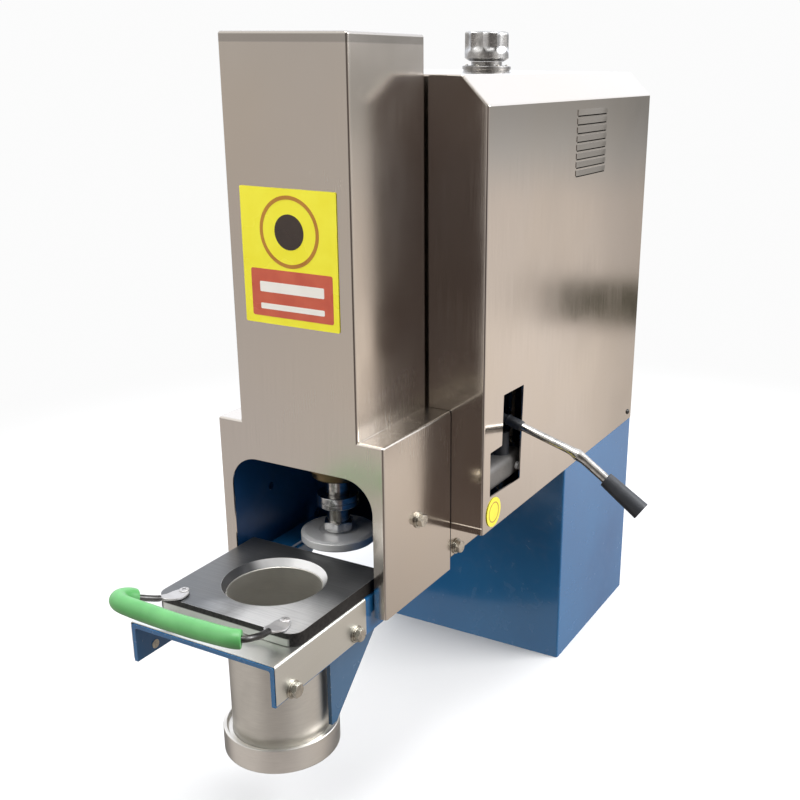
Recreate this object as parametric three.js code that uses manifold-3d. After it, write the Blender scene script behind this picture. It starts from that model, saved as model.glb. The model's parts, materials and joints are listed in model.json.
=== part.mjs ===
// Bench-top hydraulic press: a front tower with a ram, a sliding tray with a pressing tube,
// and a rear casing on a box base. Millimetres, +Z up, front towards -Y.
import * as THREE from "three";
import { mergeVertices } from "three/addons/utils/BufferGeometryUtils.js";
import Module from "manifold-3d";

const wasm = await Module();
wasm.setup();

// ---------------------------------------------------------------- driving dimensions
// Local frame of the press: X = 0 on the centre plane, Y = 0 on the front face of the
// cover, Z = 0 on the top of the table. The origin of the part is under the base.
const GAP = 0.3;
const SHEET = 1.5;
const TOWER = { half: 64, depth: 116, top: 477 };
const HOUSING = { half: 90.5, depth: 119, bottom: -25, top: 141 };
const OPENING = { half: 78, top: 105.5, radius: 30 };
const WINDOW = { half: 40, bottom: 150, top: 430 };
const CASING = { half: 126, front: 120, back: 540, bottom: 19, top: 445, cutWide: 26, cutHigh: 25 };
const BASE = { half: 126, front: 323, back: 540, bottom: -224, top: 18.7, wall: 3, plate: 14 };
const CHEEK = { inner: 79, outer: 88.7, back: 520, deck: 199 };
const ARM = { half: 90.5, bottom: -13.5 };
const HEAD = { bottom: 109, top: 125, hole: 30 };
const TABLE = { half: 76.8, front: -143, back: 116, flange: 38, plate: 4, skin: 1, skinBack: -12 };
const TRAY = { half: 75.2, front: -113, back: 22, bottom: 0.5, top: 12.4, corner: 12, seat: 5 };
const TUBE = { y: -42.5, radius: 45.2, wall: 3, throat: 43.2, mouth: 46.8 };
const RING = { radius: 53.8, top: -129, bottom: -154, lip: 6, bore: 40, die: 5, rim: 3.2, dish: 4 };
const RAM = { y: 59, rod: 11, rodTop: 356, disc: 36.5, discBottom: 14.5, discTop: 24 };
const CYLINDER = { radius: 42, bore: 35, top: 400, flange: 54, flangeHigh: 12 };
const HANDLE = { lugX: 54.4, lugY: -99, lugRadius: 9, rod: 2.8, hole: 2.9, head: 4.8 };
const SLEEVE = { radius: 8, start: 0.162, end: 0.745 };
const LEVER = { x: 96, y: 199, z: 118, inner: 4.2, knee: 6.2, outer: 4.9, grip: [7.6, 9.4] };
const VALVE = { x: [90, 118], y: [148, 222], z: [50, 76], neck: 100, spoolX: 104, spool: 6 };
const EARS = { x: 101, top: 124, y: [[188, 192.6], [205.4, 210]] };
const PIN = { radius: 3, hole: 3.3 };
const BREATHER = { x: 4, y: 353, flange: 26, thick: 5.5, neck: 16.5, cap: 23.6, height: 30 };
const TANK = { half: 100, front: 250, back: 515, bottom: 199.5, top: 400, wall: 2 };
const MOTOR = { y: 432, z: -138, radius: 60, x: [-45, 85], shaft: 12 };
const BOLT = { head: 6.4, high: 5, washer: 8, shank: 3.7, hole: 4.1 };
const ORIGIN = { y: (BASE.front + BASE.back) / 2, z: BASE.bottom };

// ---------------------------------------------------------------- materials
const finish = (color, roughness, metalness) =>
  new THREE.MeshStandardMaterial({ color, roughness, metalness });
const stainless = finish(0xb9b0a4, 0.35, 0.9);
const bluePaint = finish(0x1d4f8c, 0.4, 0.1);
const darkSteel = finish(0x4a4b4d, 0.35, 0.9);
const brightSteel = finish(0xc4c4c4, 0.25, 1);
const castGrey = finish(0x7d8083, 0.6, 0.5);
const chrome = finish(0xa9abad, 0.2, 1);
const bronze = finish(0xa8803c, 0.4, 0.9);
const greenGrip = finish(0x4fc552, 0.5, 0);
const blackPlastic = finish(0x2b3034, 0.5, 0);
const copper = finish(0x9a5a32, 0.5, 0.8);
const yellowFilm = finish(0xf2ea28, 0.5, 0);

// ---------------------------------------------------------------- solids
function signedVolume(position, index) {
  let volume = 0;
  const [a, b, c] = [new THREE.Vector3(), new THREE.Vector3(), new THREE.Vector3()];
  for (let i = 0; i < index.length; i += 3) {
    a.fromArray(position, index[i] * 3);
    b.fromArray(position, index[i + 1] * 3);
    c.fromArray(position, index[i + 2] * 3);
    volume += a.dot(b.cross(c)) / 6;
  }
  return volume;
}

// A closed three.js geometry as a solid with its faces pointing out.
function solid(geometry) {
  const bare = geometry.clone();
  bare.deleteAttribute("normal");
  bare.deleteAttribute("uv");
  const merged = mergeVertices(bare, 1e-4);
  const position = merged.attributes.position.array;
  const index = [];
  for (let i = 0; i < merged.index.count; i += 3) {
    const [a, b, c] = [0, 1, 2].map((k) => merged.index.getX(i + k));
    if (a !== b && b !== c && c !== a) {
      index.push(a, b, c);
    }
  }
  if (signedVolume(position, index) < 0) {
    index.reverse();
  }
  const mesh = new wasm.Mesh({
    numProp: 3,
    vertProperties: new Float32Array(position),
    triVerts: new Uint32Array(index),
  });
  return new wasm.Manifold(mesh);
}

const join = (first, ...others) => others.reduce((whole, other) => whole.add(other), first);
const cut = (first, ...others) => others.reduce((whole, other) => whole.subtract(other), first);

function block(x, y, z) {
  const geometry = new THREE.BoxGeometry(x[1] - x[0], y[1] - y[0], z[1] - z[0]);
  geometry.translate((x[0] + x[1]) / 2, (y[0] + y[1]) / 2, (z[0] + z[1]) / 2);
  return solid(geometry);
}

// Directions that a flat outline's own x, y and thickness take in the press.
const SPREAD = {
  x: [new THREE.Vector3(0, 1, 0), new THREE.Vector3(0, 0, 1), new THREE.Vector3(1, 0, 0)],
  y: [new THREE.Vector3(0, 0, 1), new THREE.Vector3(1, 0, 0), new THREE.Vector3(0, 1, 0)],
  z: [new THREE.Vector3(1, 0, 0), new THREE.Vector3(0, 1, 0), new THREE.Vector3(0, 0, 1)],
};

// A flat plate across one axis. The outline is (y, z) across x, (z, x) across y, (x, y) across z.
function plate(axis, outline, [low, high]) {
  const shape = outline instanceof THREE.Shape ? outline : polygon(outline);
  const geometry = new THREE.ExtrudeGeometry(shape, {
    depth: high - low, bevelEnabled: false, curveSegments: 8,
  });
  const [u, v, w] = SPREAD[axis];
  geometry.applyMatrix4(new THREE.Matrix4().makeBasis(u, v, w));
  geometry.translate(w.x * low, w.y * low, w.z * low);
  return solid(geometry);
}

function polygon(points) {
  return new THREE.Shape(points.map(([u, v]) => new THREE.Vector2(u, v)));
}

// A turned piece. The profile is (radius, distance along the axis) and closes on itself.
function turned(axis, [x, y, z], profile, sides = 32) {
  const points = profile.map(([r, h]) => new THREE.Vector2(r, h));
  points.push(points[0].clone());
  const geometry = new THREE.LatheGeometry(points, sides);
  if (axis === "z") {
    geometry.rotateX(Math.PI / 2);
  }
  if (axis === "x") {
    geometry.rotateZ(-Math.PI / 2);
  }
  geometry.translate(x, y, z);
  return solid(geometry);
}

const rod = (axis, centre, radius, [low, high], sides = 32) =>
  turned(axis, centre, [[0, low], [radius, low], [radius, high], [0, high]], sides);
const sleeve = (axis, centre, inner, outer, [low, high], sides = 32) =>
  turned(axis, centre, [[inner, low], [outer, low], [outer, high], [inner, high]], sides);

function circle(radius, sides = 10) {
  const shape = new THREE.Shape();
  for (let i = 0; i < sides; i++) {
    const angle = (2 * Math.PI * i) / sides;
    const method = i ? "lineTo" : "moveTo";
    shape[method](radius * Math.cos(angle), radius * Math.sin(angle));
  }
  return shape;
}

function swept(points, radius, { steps = 30, sides = 10, bore = 0 } = {}) {
  const path = new THREE.CatmullRomCurve3(points.map((p) => new THREE.Vector3(...p)));
  const shape = circle(radius, sides);
  if (bore) {
    shape.holes.push(circle(bore, sides));
  }
  return solid(new THREE.ExtrudeGeometry(shape, { steps, extrudePath: path }));
}

// ---------------------------------------------------------------- assembly
const machine = new THREE.Group();
const press = new THREE.Group();
press.position.set(0, -ORIGIN.y, -ORIGIN.z);
machine.add(press);

function place(name, shape, material) {
  const { vertProperties, triVerts } = shape.getMesh();
  const geometry = new THREE.BufferGeometry();
  geometry.setAttribute("position", new THREE.BufferAttribute(vertProperties, 3));
  geometry.setIndex(new THREE.BufferAttribute(triVerts, 1));
  geometry.computeVertexNormals();
  const mesh = new THREE.Mesh(geometry, material);
  mesh.name = name;
  press.add(mesh);
}

const SIDES = { left: -1, right: 1 };
const span = (half) => [-half, half];
const sided = (sign, low, high) => (sign > 0 ? [low, high] : [-high, -low]);

// ---------------------------------------------------------------- front cover and frame
const HOUSING_BOLT = { y: 57.6, z: 53 };
const ARM_BOLT = { y: 131, z: -4 };
const TABLE_BOLTS = [{ name: "front", y: -121.6, z: -31 }, { name: "rear", y: -28.8, z: -27 }];
const boltHole = ({ y, z }, half) => rod("x", [0, y, z], BOLT.hole, span(half), 8);

function openingShape() {
  const { half, top, radius } = OPENING;
  const low = HOUSING.bottom - 1;
  const shape = new THREE.Shape();
  shape.moveTo(low, -half);
  shape.lineTo(top - radius, -half);
  shape.absarc(top - radius, -half + radius, radius, -Math.PI / 2, 0, false);
  shape.absarc(top - radius, half - radius, radius, 0, Math.PI / 2, false);
  shape.lineTo(low, half);
  return shape;
}

function frontCover() {
  const { half, depth, top } = TOWER;
  const outer = join(
    block(span(half), [0, depth], [HOUSING.top - 5, top]),
    block(span(HOUSING.half), [0, HOUSING.depth], [HOUSING.bottom, HOUSING.top]),
  );
  const towerInside = block(span(half - SHEET), [SHEET, depth - SHEET], [0, top - SHEET]);
  const lowerInside = block(
    span(HOUSING.half - SHEET), [SHEET, HOUSING.depth + 1],
    [HOUSING.bottom - 1, HOUSING.top - SHEET],
  );
  return cut(
    outer, towerInside, lowerInside,
    plate("y", openingShape(), [-1, SHEET + 1]),
    block(span(WINDOW.half), [depth - 5, depth + 5], [WINDOW.bottom, WINDOW.top]),
    boltHole(HOUSING_BOLT, HOUSING.half + 1),
  );
}

const CHEEK_OUTLINE = [
  [3, HOUSING.bottom + 2], [115.5, HOUSING.bottom + 2], [115.5, ARM.bottom + SHEET],
  [BASE.front - 1, ARM.bottom + SHEET], [BASE.front - 1, BASE.top + 0.6],
  [CHEEK.back, BASE.top + 0.6], [CHEEK.back, CHEEK.deck], [TANK.front, CHEEK.deck],
  [CASING.front + 3, HOUSING.top - 2.5], [3, HOUSING.top - 2.5],
];
const PIPE_HOLE = { y: 250, z: 80, radius: 9 };

function cheek(sign) {
  const whole = plate("x", CHEEK_OUTLINE, sided(sign, CHEEK.inner, CHEEK.outer));
  const holes = [boltHole(HOUSING_BOLT, 100), boltHole(ARM_BOLT, 100)];
  holes.push(rod("x", [0, PIPE_HOLE.y, PIPE_HOLE.z], PIPE_HOLE.radius, span(100), 16));
  return cut(whole, ...holes);
}

function headPlate() {
  const whole = block(span(CHEEK.inner - GAP), [4, 115], [HEAD.bottom, HEAD.top]);
  return cut(whole, rod("z", [0, RAM.y, 0], HEAD.hole, [HEAD.bottom - 1, HEAD.top + 1], 32));
}

// The channel under the casing that joins the head to the base.
function armCover() {
  const reach = [CASING.front + 0.5, BASE.front - 0.5];
  const outer = block(span(ARM.half), reach, [ARM.bottom, CASING.bottom - 0.5]);
  const inner = block(
    span(ARM.half - SHEET), [reach[0] - 1, reach[1] + 1], [ARM.bottom + SHEET - 0.3, CASING.bottom],
  );
  return cut(outer, inner, boltHole(ARM_BOLT, ARM.half + 1));
}

place("front_cover", frontCover(), stainless);
for (const [side, sign] of Object.entries(SIDES)) {
  place(`cheek_plate_${side}`, cheek(sign), bluePaint);
}
place("head_plate", headPlate(), bluePaint);
place("arm_cover", armCover(), stainless);

// ---------------------------------------------------------------- table
const SLOT_HALF = TUBE.radius + 3.3;
const SLOT_BACK = RAM.y + SLOT_HALF;

// The opening in the table that the pressing tube travels along.
function slotCutter() {
  const shape = new THREE.Shape();
  shape.moveTo(SLOT_HALF, SLOT_BACK);
  shape.lineTo(-SLOT_HALF, SLOT_BACK);
  shape.absarc(0, TUBE.y, SLOT_HALF, Math.PI, 2 * Math.PI, false);
  return plate("z", shape, [-20, 5]);
}

function tableChannel() {
  const { half, front, back, flange, plate: thick, skin } = TABLE;
  const side = half - skin - GAP;
  const outer = block(span(side), [front, back], [-flange, -skin - GAP]);
  const inner = block(
    span(side - thick), [front - 1, back + 1], [-flange - 1, -skin - GAP - thick],
  );
  const pads = Object.values(SIDES).map((sign) =>
    block(sided(sign, side - 1, CHEEK.inner - GAP), [6, 114], [HOUSING.bottom, -8]));
  const holes = TABLE_BOLTS.map((spot) => boltHole(spot, half));
  return cut(join(cut(outer, inner), ...pads), slotCutter(), ...holes);
}

function tableCladding() {
  const { half, front, skin, skinBack, flange } = TABLE;
  const outer = block(span(half), [front + 0.8, skinBack], [-flange + 2, 0]);
  const inner = block(span(half - skin), [front - 1, skinBack + 1], [-flange, -skin]);
  const holes = TABLE_BOLTS.map((spot) => boltHole(spot, half + 1));
  return cut(outer, inner, slotCutter(), ...holes);
}

const GUSSET = { inner: 48.7, outer: 52.5 };
const GUSSET_OUTLINE = [[-36, -5.6], [-36, -125.5], [-28.5, -125.5], [42.7, -57.1], [96.3, -5.6]];

place("table_channel", tableChannel(), bluePaint);
place("table_cladding", tableCladding(), stainless);
for (const [side, sign] of Object.entries(SIDES)) {
  const web = plate("x", GUSSET_OUTLINE, sided(sign, GUSSET.inner, GUSSET.outer));
  place(`gusset_${side}`, web, bluePaint);
}

// ---------------------------------------------------------------- bolts
// A hexagon bolt with its washer. It lies along X, with its head on the outer side.
function bolt(sign, half, { y, z }, shank) {
  const along = (low, high) => sided(sign, low, high);
  const washer = rod("x", [0, y, z], BOLT.washer, along(half + GAP, half + GAP + 1.6), 12);
  const head = rod("x", [0, y, z], BOLT.head, along(half + 1, half + GAP + 1.6 + BOLT.high), 6);
  const stem = rod("x", [0, y, z], BOLT.shank, along(half - shank, half + 1), 8);
  return join(washer, head, stem);
}

for (const [side, sign] of Object.entries(SIDES)) {
  place(`housing_bolt_${side}`, bolt(sign, HOUSING.half, HOUSING_BOLT, 10), brightSteel);
  place(`arm_bolt_${side}`, bolt(sign, ARM.half, ARM_BOLT, 9), brightSteel);
  for (const spot of TABLE_BOLTS) {
    place(`table_bolt_${side}_${spot.name}`, bolt(sign, TABLE.half, spot, 5), brightSteel);
  }
}

// ---------------------------------------------------------------- tray, tube and die
function trayOutline() {
  const { half, front, back, corner } = TRAY;
  const shape = new THREE.Shape();
  shape.moveTo(half, back);
  shape.lineTo(-half, back);
  shape.absarc(-half + corner, front + corner, corner, Math.PI, 1.5 * Math.PI, false);
  shape.absarc(half - corner, front + corner, corner, 1.5 * Math.PI, 2 * Math.PI, false);
  return shape;
}

// The tray's plate, with a recess under it for the tube and a funnel-shaped mouth above.
function trayPlate() {
  const { hole, lugX, lugY } = HANDLE;
  const whole = plate("z", trayOutline(), [TRAY.bottom, TRAY.top]);
  const seat = rod("z", [0, TUBE.y, 0], TUBE.radius + GAP, [-1, TRAY.seat], 32);
  const mouth = turned("z", [0, TUBE.y, 0], [
    [0, TRAY.seat - 1], [TUBE.throat, TRAY.seat - 1], [TUBE.throat, TRAY.seat],
    [TUBE.mouth, TRAY.top], [TUBE.mouth, TRAY.top + 1], [0, TRAY.top + 1],
  ], 32);
  const screws = Object.values(SIDES).map((sign) =>
    rod("z", [sign * lugX, lugY, 0], hole, [TRAY.top - 8, TRAY.top + 1], 10));
  return cut(whole, seat, mouth, ...screws);
}

const DIE_BOTTOM = RING.bottom + RING.lip + GAP;
const TUBE_BOTTOM = DIE_BOTTOM + RING.die + GAP;

function dieRing() {
  const { radius, top, bottom, lip, bore, rim, dish } = RING;
  const inner = TUBE.radius + GAP;
  return turned("z", [0, TUBE.y, 0], [
    [bore, bottom], [radius - 1.5, bottom], [radius, bottom + 1.5], [radius, top - 1],
    [radius - 1, top], [radius - rim, top], [radius - rim - 1.5, top - dish], [inner, top - dish],
    [inner, bottom + lip], [bore, bottom + lip],
  ], 32);
}

const DIE_HOLES = { radius: 3.5, rings: [[0, 1], [15, 6], [30, 12]] };

// A disc with rings of round holes that the dough comes out of.
function diePlate() {
  const high = DIE_BOTTOM + RING.die;
  const disc = rod("z", [0, TUBE.y, 0], TUBE.radius - GAP, [DIE_BOTTOM, high], 32);
  const holes = [];
  for (const [ring, count] of DIE_HOLES.rings) {
    for (let i = 0; i < count; i++) {
      const angle = (2 * Math.PI * i) / count;
      const spot = [ring * Math.cos(angle), TUBE.y + ring * Math.sin(angle), 0];
      holes.push(rod("z", spot, DIE_HOLES.radius, [DIE_BOTTOM - 1, high + 1], 6));
    }
  }
  return cut(disc, ...holes);
}

place("tray_plate", trayPlate(), darkSteel);
const tubeSpan = [TUBE_BOTTOM, TRAY.seat - 0.1];
const tubeWall = [TUBE.radius - TUBE.wall, TUBE.radius];
place("pressing_tube", sleeve("z", [0, TUBE.y, 0], ...tubeWall, tubeSpan, 32), stainless);
place("die_ring", dieRing(), stainless);
place("die_plate", diePlate(), brightSteel);

// ---------------------------------------------------------------- tray handle
const HANDLE_HALF = [
  [HANDLE.lugX, HANDLE.lugY - 4, 16], [57.7, -124.8, 18.4], [67.6, -152.9, 30.1],
  [59.1, -166, 32.9], [25, -166.1, 30.9],
];
const HANDLE_MIDDLE = [0, -166.7, 30.9];
const mirrored = HANDLE_HALF.map(([x, y, z]) => [-x, y, z]);
const HANDLE_PATH = [...mirrored, HANDLE_MIDDLE, ...HANDLE_HALF.slice().reverse()];

const LUG = { low: TRAY.top + GAP, high: TRAY.top + GAP + 2.8 };

function handleRod() {
  const { lugX, lugY, lugRadius, hole, head } = HANDLE;
  const bow = swept(HANDLE_PATH, HANDLE.rod, { steps: 36, sides: 6 });
  const lugs = Object.values(SIDES).map((sign) =>
    sleeve("z", [sign * lugX, lugY, 0], hole, lugRadius, [LUG.low, LUG.high], 20));
  const seats = Object.values(SIDES).map((sign) =>
    rod("z", [sign * lugX, lugY, LUG.high], head + 0.6, [0, 9], 16));
  return cut(join(bow, ...lugs), ...seats);
}

// The sleeve reaches further round the handle's left corner than its right one.
function handleGrip() {
  const path = new THREE.CatmullRomCurve3(HANDLE_PATH.map((p) => new THREE.Vector3(...p)));
  const points = [];
  for (let i = 0; i <= 16; i++) {
    const share = SLEEVE.start + ((SLEEVE.end - SLEEVE.start) * i) / 16;
    points.push(path.getPointAt(share).toArray());
  }
  return swept(points, SLEEVE.radius, { steps: 20, sides: 10, bore: HANDLE.rod + 0.8 });
}

place("handle_rod", handleRod(), darkSteel);
place("handle_grip", handleGrip(), greenGrip);
for (const [side, sign] of Object.entries(SIDES)) {
  const { lugX, lugY, head } = HANDLE;
  const seat = LUG.high + 0.4;
  const screw = turned("z", [sign * lugX, lugY, 0], [
    [0, TRAY.top - 6], [2.5, TRAY.top - 6], [2.5, seat], [head, seat], [head, seat + 0.9],
    [head - 1.3, seat + 1.8], [0, seat + 1.8],
  ], 12);
  place(`handle_screw_${side}`, screw, brightSteel);
}

// ---------------------------------------------------------------- ram and cylinder
const AXIS = [0, RAM.y, 0];
const NUT = { bottom: RAM.discTop + GAP, top: 34, radius: 15 };
const COLLAR = { bottom: 50, top: 62, radius: 20 };
const GLAND = { bottom: 79, radius: 29.4, top: 150 };
const PISTON = { bottom: 330, top: 350 };
const PORTS = { cap: { x: -15, z: 412 }, rod: { x: 15, z: 165 }, end: 102 };

const portBoss = ({ x, z }) => rod("y", [x, 0, z], 8, [RAM.y + 34, PORTS.end], 12);

function barrel() {
  const { radius, bore, top, flange, flangeHigh } = CYLINDER;
  const low = HEAD.top + GAP;
  const body = turned("z", AXIS, [
    [bore, low], [flange, low], [flange, low + flangeHigh], [radius, low + flangeHigh],
    [radius, top], [bore, top],
  ], 24);
  const inside = rod("z", AXIS, bore, [low - 1, top + 1], 24);
  return cut(join(body, portBoss(PORTS.rod)), inside);
}

function gland() {
  const bore = RAM.rod + GAP;
  return turned("z", AXIS, [
    [bore, GLAND.bottom], [22, GLAND.bottom], [24, GLAND.bottom + 2], [24, GLAND.bottom + 10],
    [GLAND.radius, GLAND.bottom + 10], [GLAND.radius, HEAD.top + 2 * GAP],
    [CYLINDER.bore - 0.4, HEAD.top + 2 * GAP], [CYLINDER.bore - 0.4, GLAND.top], [bore, GLAND.top],
  ], 24);
}

function cylinderCap() {
  const { radius, bore, top } = CYLINDER;
  const body = turned("z", AXIS, [
    [0, top - 15], [bore - 0.4, top - 15], [bore - 0.4, top + GAP], [radius, top + GAP],
    [radius, top + 24], [0, top + 24],
  ], 24);
  return join(body, portBoss(PORTS.cap));
}

place("cylinder_barrel", barrel(), darkSteel);
place("cylinder_gland", gland(), bronze);
place("cylinder_cap", cylinderCap(), darkSteel);
place("ram_rod", rod("z", AXIS, RAM.rod, [NUT.bottom, RAM.rodTop], 18), chrome);
const onRod = RAM.rod + GAP;
place("ram_collar", turned("z", AXIS, [
  [onRod, COLLAR.bottom], [COLLAR.radius - 1, COLLAR.bottom], [COLLAR.radius, COLLAR.bottom + 1],
  [COLLAR.radius, COLLAR.top - 1], [COLLAR.radius - 1, COLLAR.top], [onRod, COLLAR.top],
], 20), brightSteel);
const nutBody = rod("z", AXIS, NUT.radius, [NUT.bottom, NUT.top], 6);
const nutBore = rod("z", AXIS, onRod, [NUT.bottom - 1, NUT.top + 1], 24);
place("ram_nut", cut(nutBody, nutBore), brightSteel);
place("ram_disc", turned("z", AXIS, [
  [0, RAM.discBottom], [RAM.disc - 1.5, RAM.discBottom], [RAM.disc, RAM.discBottom + 1.5],
  [RAM.disc, RAM.discTop - 2], [RAM.disc - 2, RAM.discTop], [0, RAM.discTop],
], 28), stainless);
place("cylinder_piston",
  sleeve("z", AXIS, onRod, CYLINDER.bore - 0.4, [PISTON.bottom, PISTON.top], 24), darkSteel);

// ---------------------------------------------------------------- rear casing
// Upright outline of the casing in (z, x), drawn in by a margin.
function casingOutline(margin, bottom) {
  const { half, top, cutWide, cutHigh } = CASING;
  const [x, z] = [half - margin, top - margin];
  const bevel = margin * 0.42;
  return [
    [bottom, -x], [z - cutHigh + bevel, -x], [z, -x + cutWide - bevel],
    [z, x - cutWide + bevel], [z - cutHigh + bevel, x], [bottom, x],
  ];
}

const LEVER_SLOT = [[161, 151], [159, 100], [134, 100], [134, 54], [202, 51], [206, 150]];
const SIDE_VENT = { front: 320, back: 400, bottom: 343, pitch: 8.6, high: 3, count: 8 };
const BACK_VENT = { half: 55, bottom: 120, pitch: 24, high: 6, count: 8 };
const FILLER_HOLE = 17.5;

function ventSlots(sign) {
  const slots = [];
  for (let i = 0; i < SIDE_VENT.count; i++) {
    const low = SIDE_VENT.bottom + i * SIDE_VENT.pitch;
    const across = sided(sign, CASING.half - 4, CASING.half + 4);
    slots.push(block(across, [SIDE_VENT.front, SIDE_VENT.back], [low, low + SIDE_VENT.high]));
  }
  return slots;
}

function rearCasing() {
  const { half, front, back, bottom } = CASING;
  const outer = plate("y", casingOutline(0, bottom), [front, back]);
  const inner = plate("y", casingOutline(SHEET, bottom + SHEET), [front + SHEET, back + 1]);
  const passage = span(CHEEK.outer + 0.5);
  return cut(
    outer, inner,
    block(span(half - SHEET), [BASE.front - 1, back + 1], [bottom - 1, bottom + 5]),
    block(passage, [front - 1, BASE.front], [bottom - 1, bottom + 2]),
    block(passage, [front - 1, front + 3], [bottom - 1, HOUSING.top - 2]),
    block(span(WINDOW.half), [front - 1, front + 3], [WINDOW.bottom, WINDOW.top]),
    plate("x", LEVER_SLOT, [half - 5, half + 5]),
    rod("z", [BREATHER.x, BREATHER.y, 0], FILLER_HOLE, [CASING.top - 5, CASING.top + 5], 24),
    ...ventSlots(1), ...ventSlots(-1),
  );
}

function backPanel() {
  const { back, bottom } = CASING;
  const sheet = plate("y", casingOutline(SHEET + GAP, bottom + 2), [back - SHEET, back]);
  const slots = [];
  for (let i = 0; i < BACK_VENT.count; i++) {
    const low = BACK_VENT.bottom + i * BACK_VENT.pitch;
    slots.push(block(span(BACK_VENT.half), [back - 5, back + 5], [low, low + BACK_VENT.high]));
  }
  return cut(sheet, ...slots);
}

place("rear_casing", rearCasing(), stainless);
place("back_panel", backPanel(), stainless);

// ---------------------------------------------------------------- base
const BASE_VENT = { x: [-10, 100], bottom: -100, pitch: 18, high: 6, count: 5 };
const HATCH = { half: 76, front: 345, back: 515 };
const INLET = { x: -80, z: -185, hole: 8.3 };

function baseShell() {
  const { half, front, back, bottom, top, wall } = BASE;
  const outer = block(span(half), [front, back], [bottom, top]);
  const inner = block(span(half - wall), [front + wall, back - wall], [bottom - 1, top - 6]);
  const hatch = block(span(HATCH.half), [HATCH.front, HATCH.back], [top - 10, top + 1]);
  const slots = [];
  for (let i = 0; i < BASE_VENT.count; i++) {
    const low = BASE_VENT.bottom + i * BASE_VENT.pitch;
    slots.push(block(BASE_VENT.x, [back - 10, back + 1], [low, low + BASE_VENT.high]));
  }
  const inlet = rod("y", [INLET.x, 0, INLET.z], INLET.hole, [back - 10, back + 1], 16);
  return cut(outer, inner, hatch, inlet, ...slots);
}

const floorHalf = BASE.half - BASE.wall - GAP;
const floorReach = [BASE.front + BASE.wall + GAP, BASE.back - BASE.wall - GAP];
const FLOOR = BASE.bottom + BASE.plate;
place("base_shell", baseShell(), bluePaint);
place("base_plate", block(span(floorHalf), floorReach, [BASE.bottom, FLOOR]), darkSteel);
const CABLE = { bore: 3.6, stem: 8, inside: -8, flange: 12, flangeHigh: 6, cap: 9.5, nose: 6 };
place("cable_gland", turned("y", [INLET.x, BASE.back, INLET.z], [
  [CABLE.bore, CABLE.inside], [CABLE.stem, CABLE.inside], [CABLE.stem, GAP],
  [CABLE.flange, GAP], [CABLE.flange, CABLE.flangeHigh], [CABLE.cap, CABLE.flangeHigh + 1],
  [CABLE.cap, CABLE.flangeHigh + 9], [CABLE.nose, CABLE.flangeHigh + 13],
  [CABLE.bore, CABLE.flangeHigh + 13],
], 16), blackPlastic);

// ---------------------------------------------------------------- oil tank and breather
const filler = [BREATHER.x, BREATHER.y, 0];

function oilTank() {
  const { half, front, back, bottom, top, wall } = TANK;
  const outer = block(span(half), [front, back], [bottom, top]);
  const inner = block(
    span(half - wall), [front + wall, back - wall], [bottom + wall, top - wall],
  );
  return cut(outer, inner, rod("z", filler, 16.6, [top - 5, top + 5], 24));
}

const deck = CASING.top + GAP;
const capLow = deck + 10;
place("oil_tank", oilTank(), castGrey);
place("breather_neck", turned("z", filler, [
  [12, TANK.top - 12], [16, TANK.top - 12], [16, deck], [BREATHER.flange, deck],
  [BREATHER.flange, deck + BREATHER.thick], [BREATHER.neck, deck + BREATHER.thick + 0.6],
  [BREATHER.neck, capLow - GAP], [12, capLow - GAP],
], 20), brightSteel);
place("breather_cap", turned("z", filler, [
  [0, capLow + 8], [10, capLow + 8], [10, capLow], [BREATHER.neck + 1, capLow],
  [BREATHER.cap, capLow + 3], [BREATHER.cap, capLow + BREATHER.height - 3],
  [BREATHER.cap - 3, capLow + BREATHER.height],
  [0, capLow + BREATHER.height],
], 20), chrome);

// ---------------------------------------------------------------- motor and pump
const SHAFT = [0, MOTOR.y, MOTOR.z];
const AIR = { shell: 50, stator: 49.1, rotor: 30 };
const FAN = { hub: 20, thick: 12, blades: 6, blade: [12, 2.5, 30], middle: 32 };
const FAN_COVER = { outer: 58, inner: 56, deep: 31, slotHalf: 32, slots: [-30, -15, 0, 15, 30] };
const PUMP = { bellInner: 30, bell: 38, bellDeep: 27, back: 70, halfY: 34, halfZ: 38 };

function motorShell() {
  const [low, high] = MOTOR.x;
  const tube = rod("x", SHAFT, MOTOR.radius, [low, high], 24);
  const across = (half) => [MOTOR.y - half, MOTOR.y + half];
  const feet = block([low + 15, high - 15], across(62), [FLOOR + GAP, FLOOR + 14]);
  const legs = block([low + 25, high - 25], across(45), [FLOOR + 10, MOTOR.z]);
  const hollow = rod("x", SHAFT, AIR.shell, [low + 12, high - 12], 24);
  const bore = rod("x", SHAFT, MOTOR.shaft + 1, [low - 1, high + 1], 16);
  return cut(join(tube, feet, legs), hollow, bore);
}

function rotor() {
  const [low, high] = MOTOR.x;
  return turned("x", SHAFT, [
    [0, low - 45], [MOTOR.shaft, low - 45], [MOTOR.shaft, low - 23], [21, low - 23],
    [21, low - 6], [MOTOR.shaft, low - 6], [MOTOR.shaft, low + 16], [AIR.rotor, low + 16],
    [AIR.rotor, high - 16], [MOTOR.shaft, high - 16], [MOTOR.shaft, high + 22], [0, high + 22],
  ], 16);
}

function fan() {
  const low = MOTOR.x[1] + 6;
  const high = low + FAN.thick;
  const hub = rod("x", SHAFT, FAN.hub, [low, high], 16);
  const blades = [];
  for (let i = 0; i < FAN.blades; i++) {
    const blade = new THREE.BoxGeometry(...FAN.blade);
    blade.translate((low + high) / 2, 0, FAN.middle);
    blade.rotateX((2 * i * Math.PI) / FAN.blades);
    blade.translate(0, MOTOR.y, MOTOR.z);
    blades.push(solid(blade));
  }
  return cut(join(hub, ...blades), rod("x", SHAFT, MOTOR.shaft + 0.5, [low - 1, high + 1], 16));
}

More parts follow.
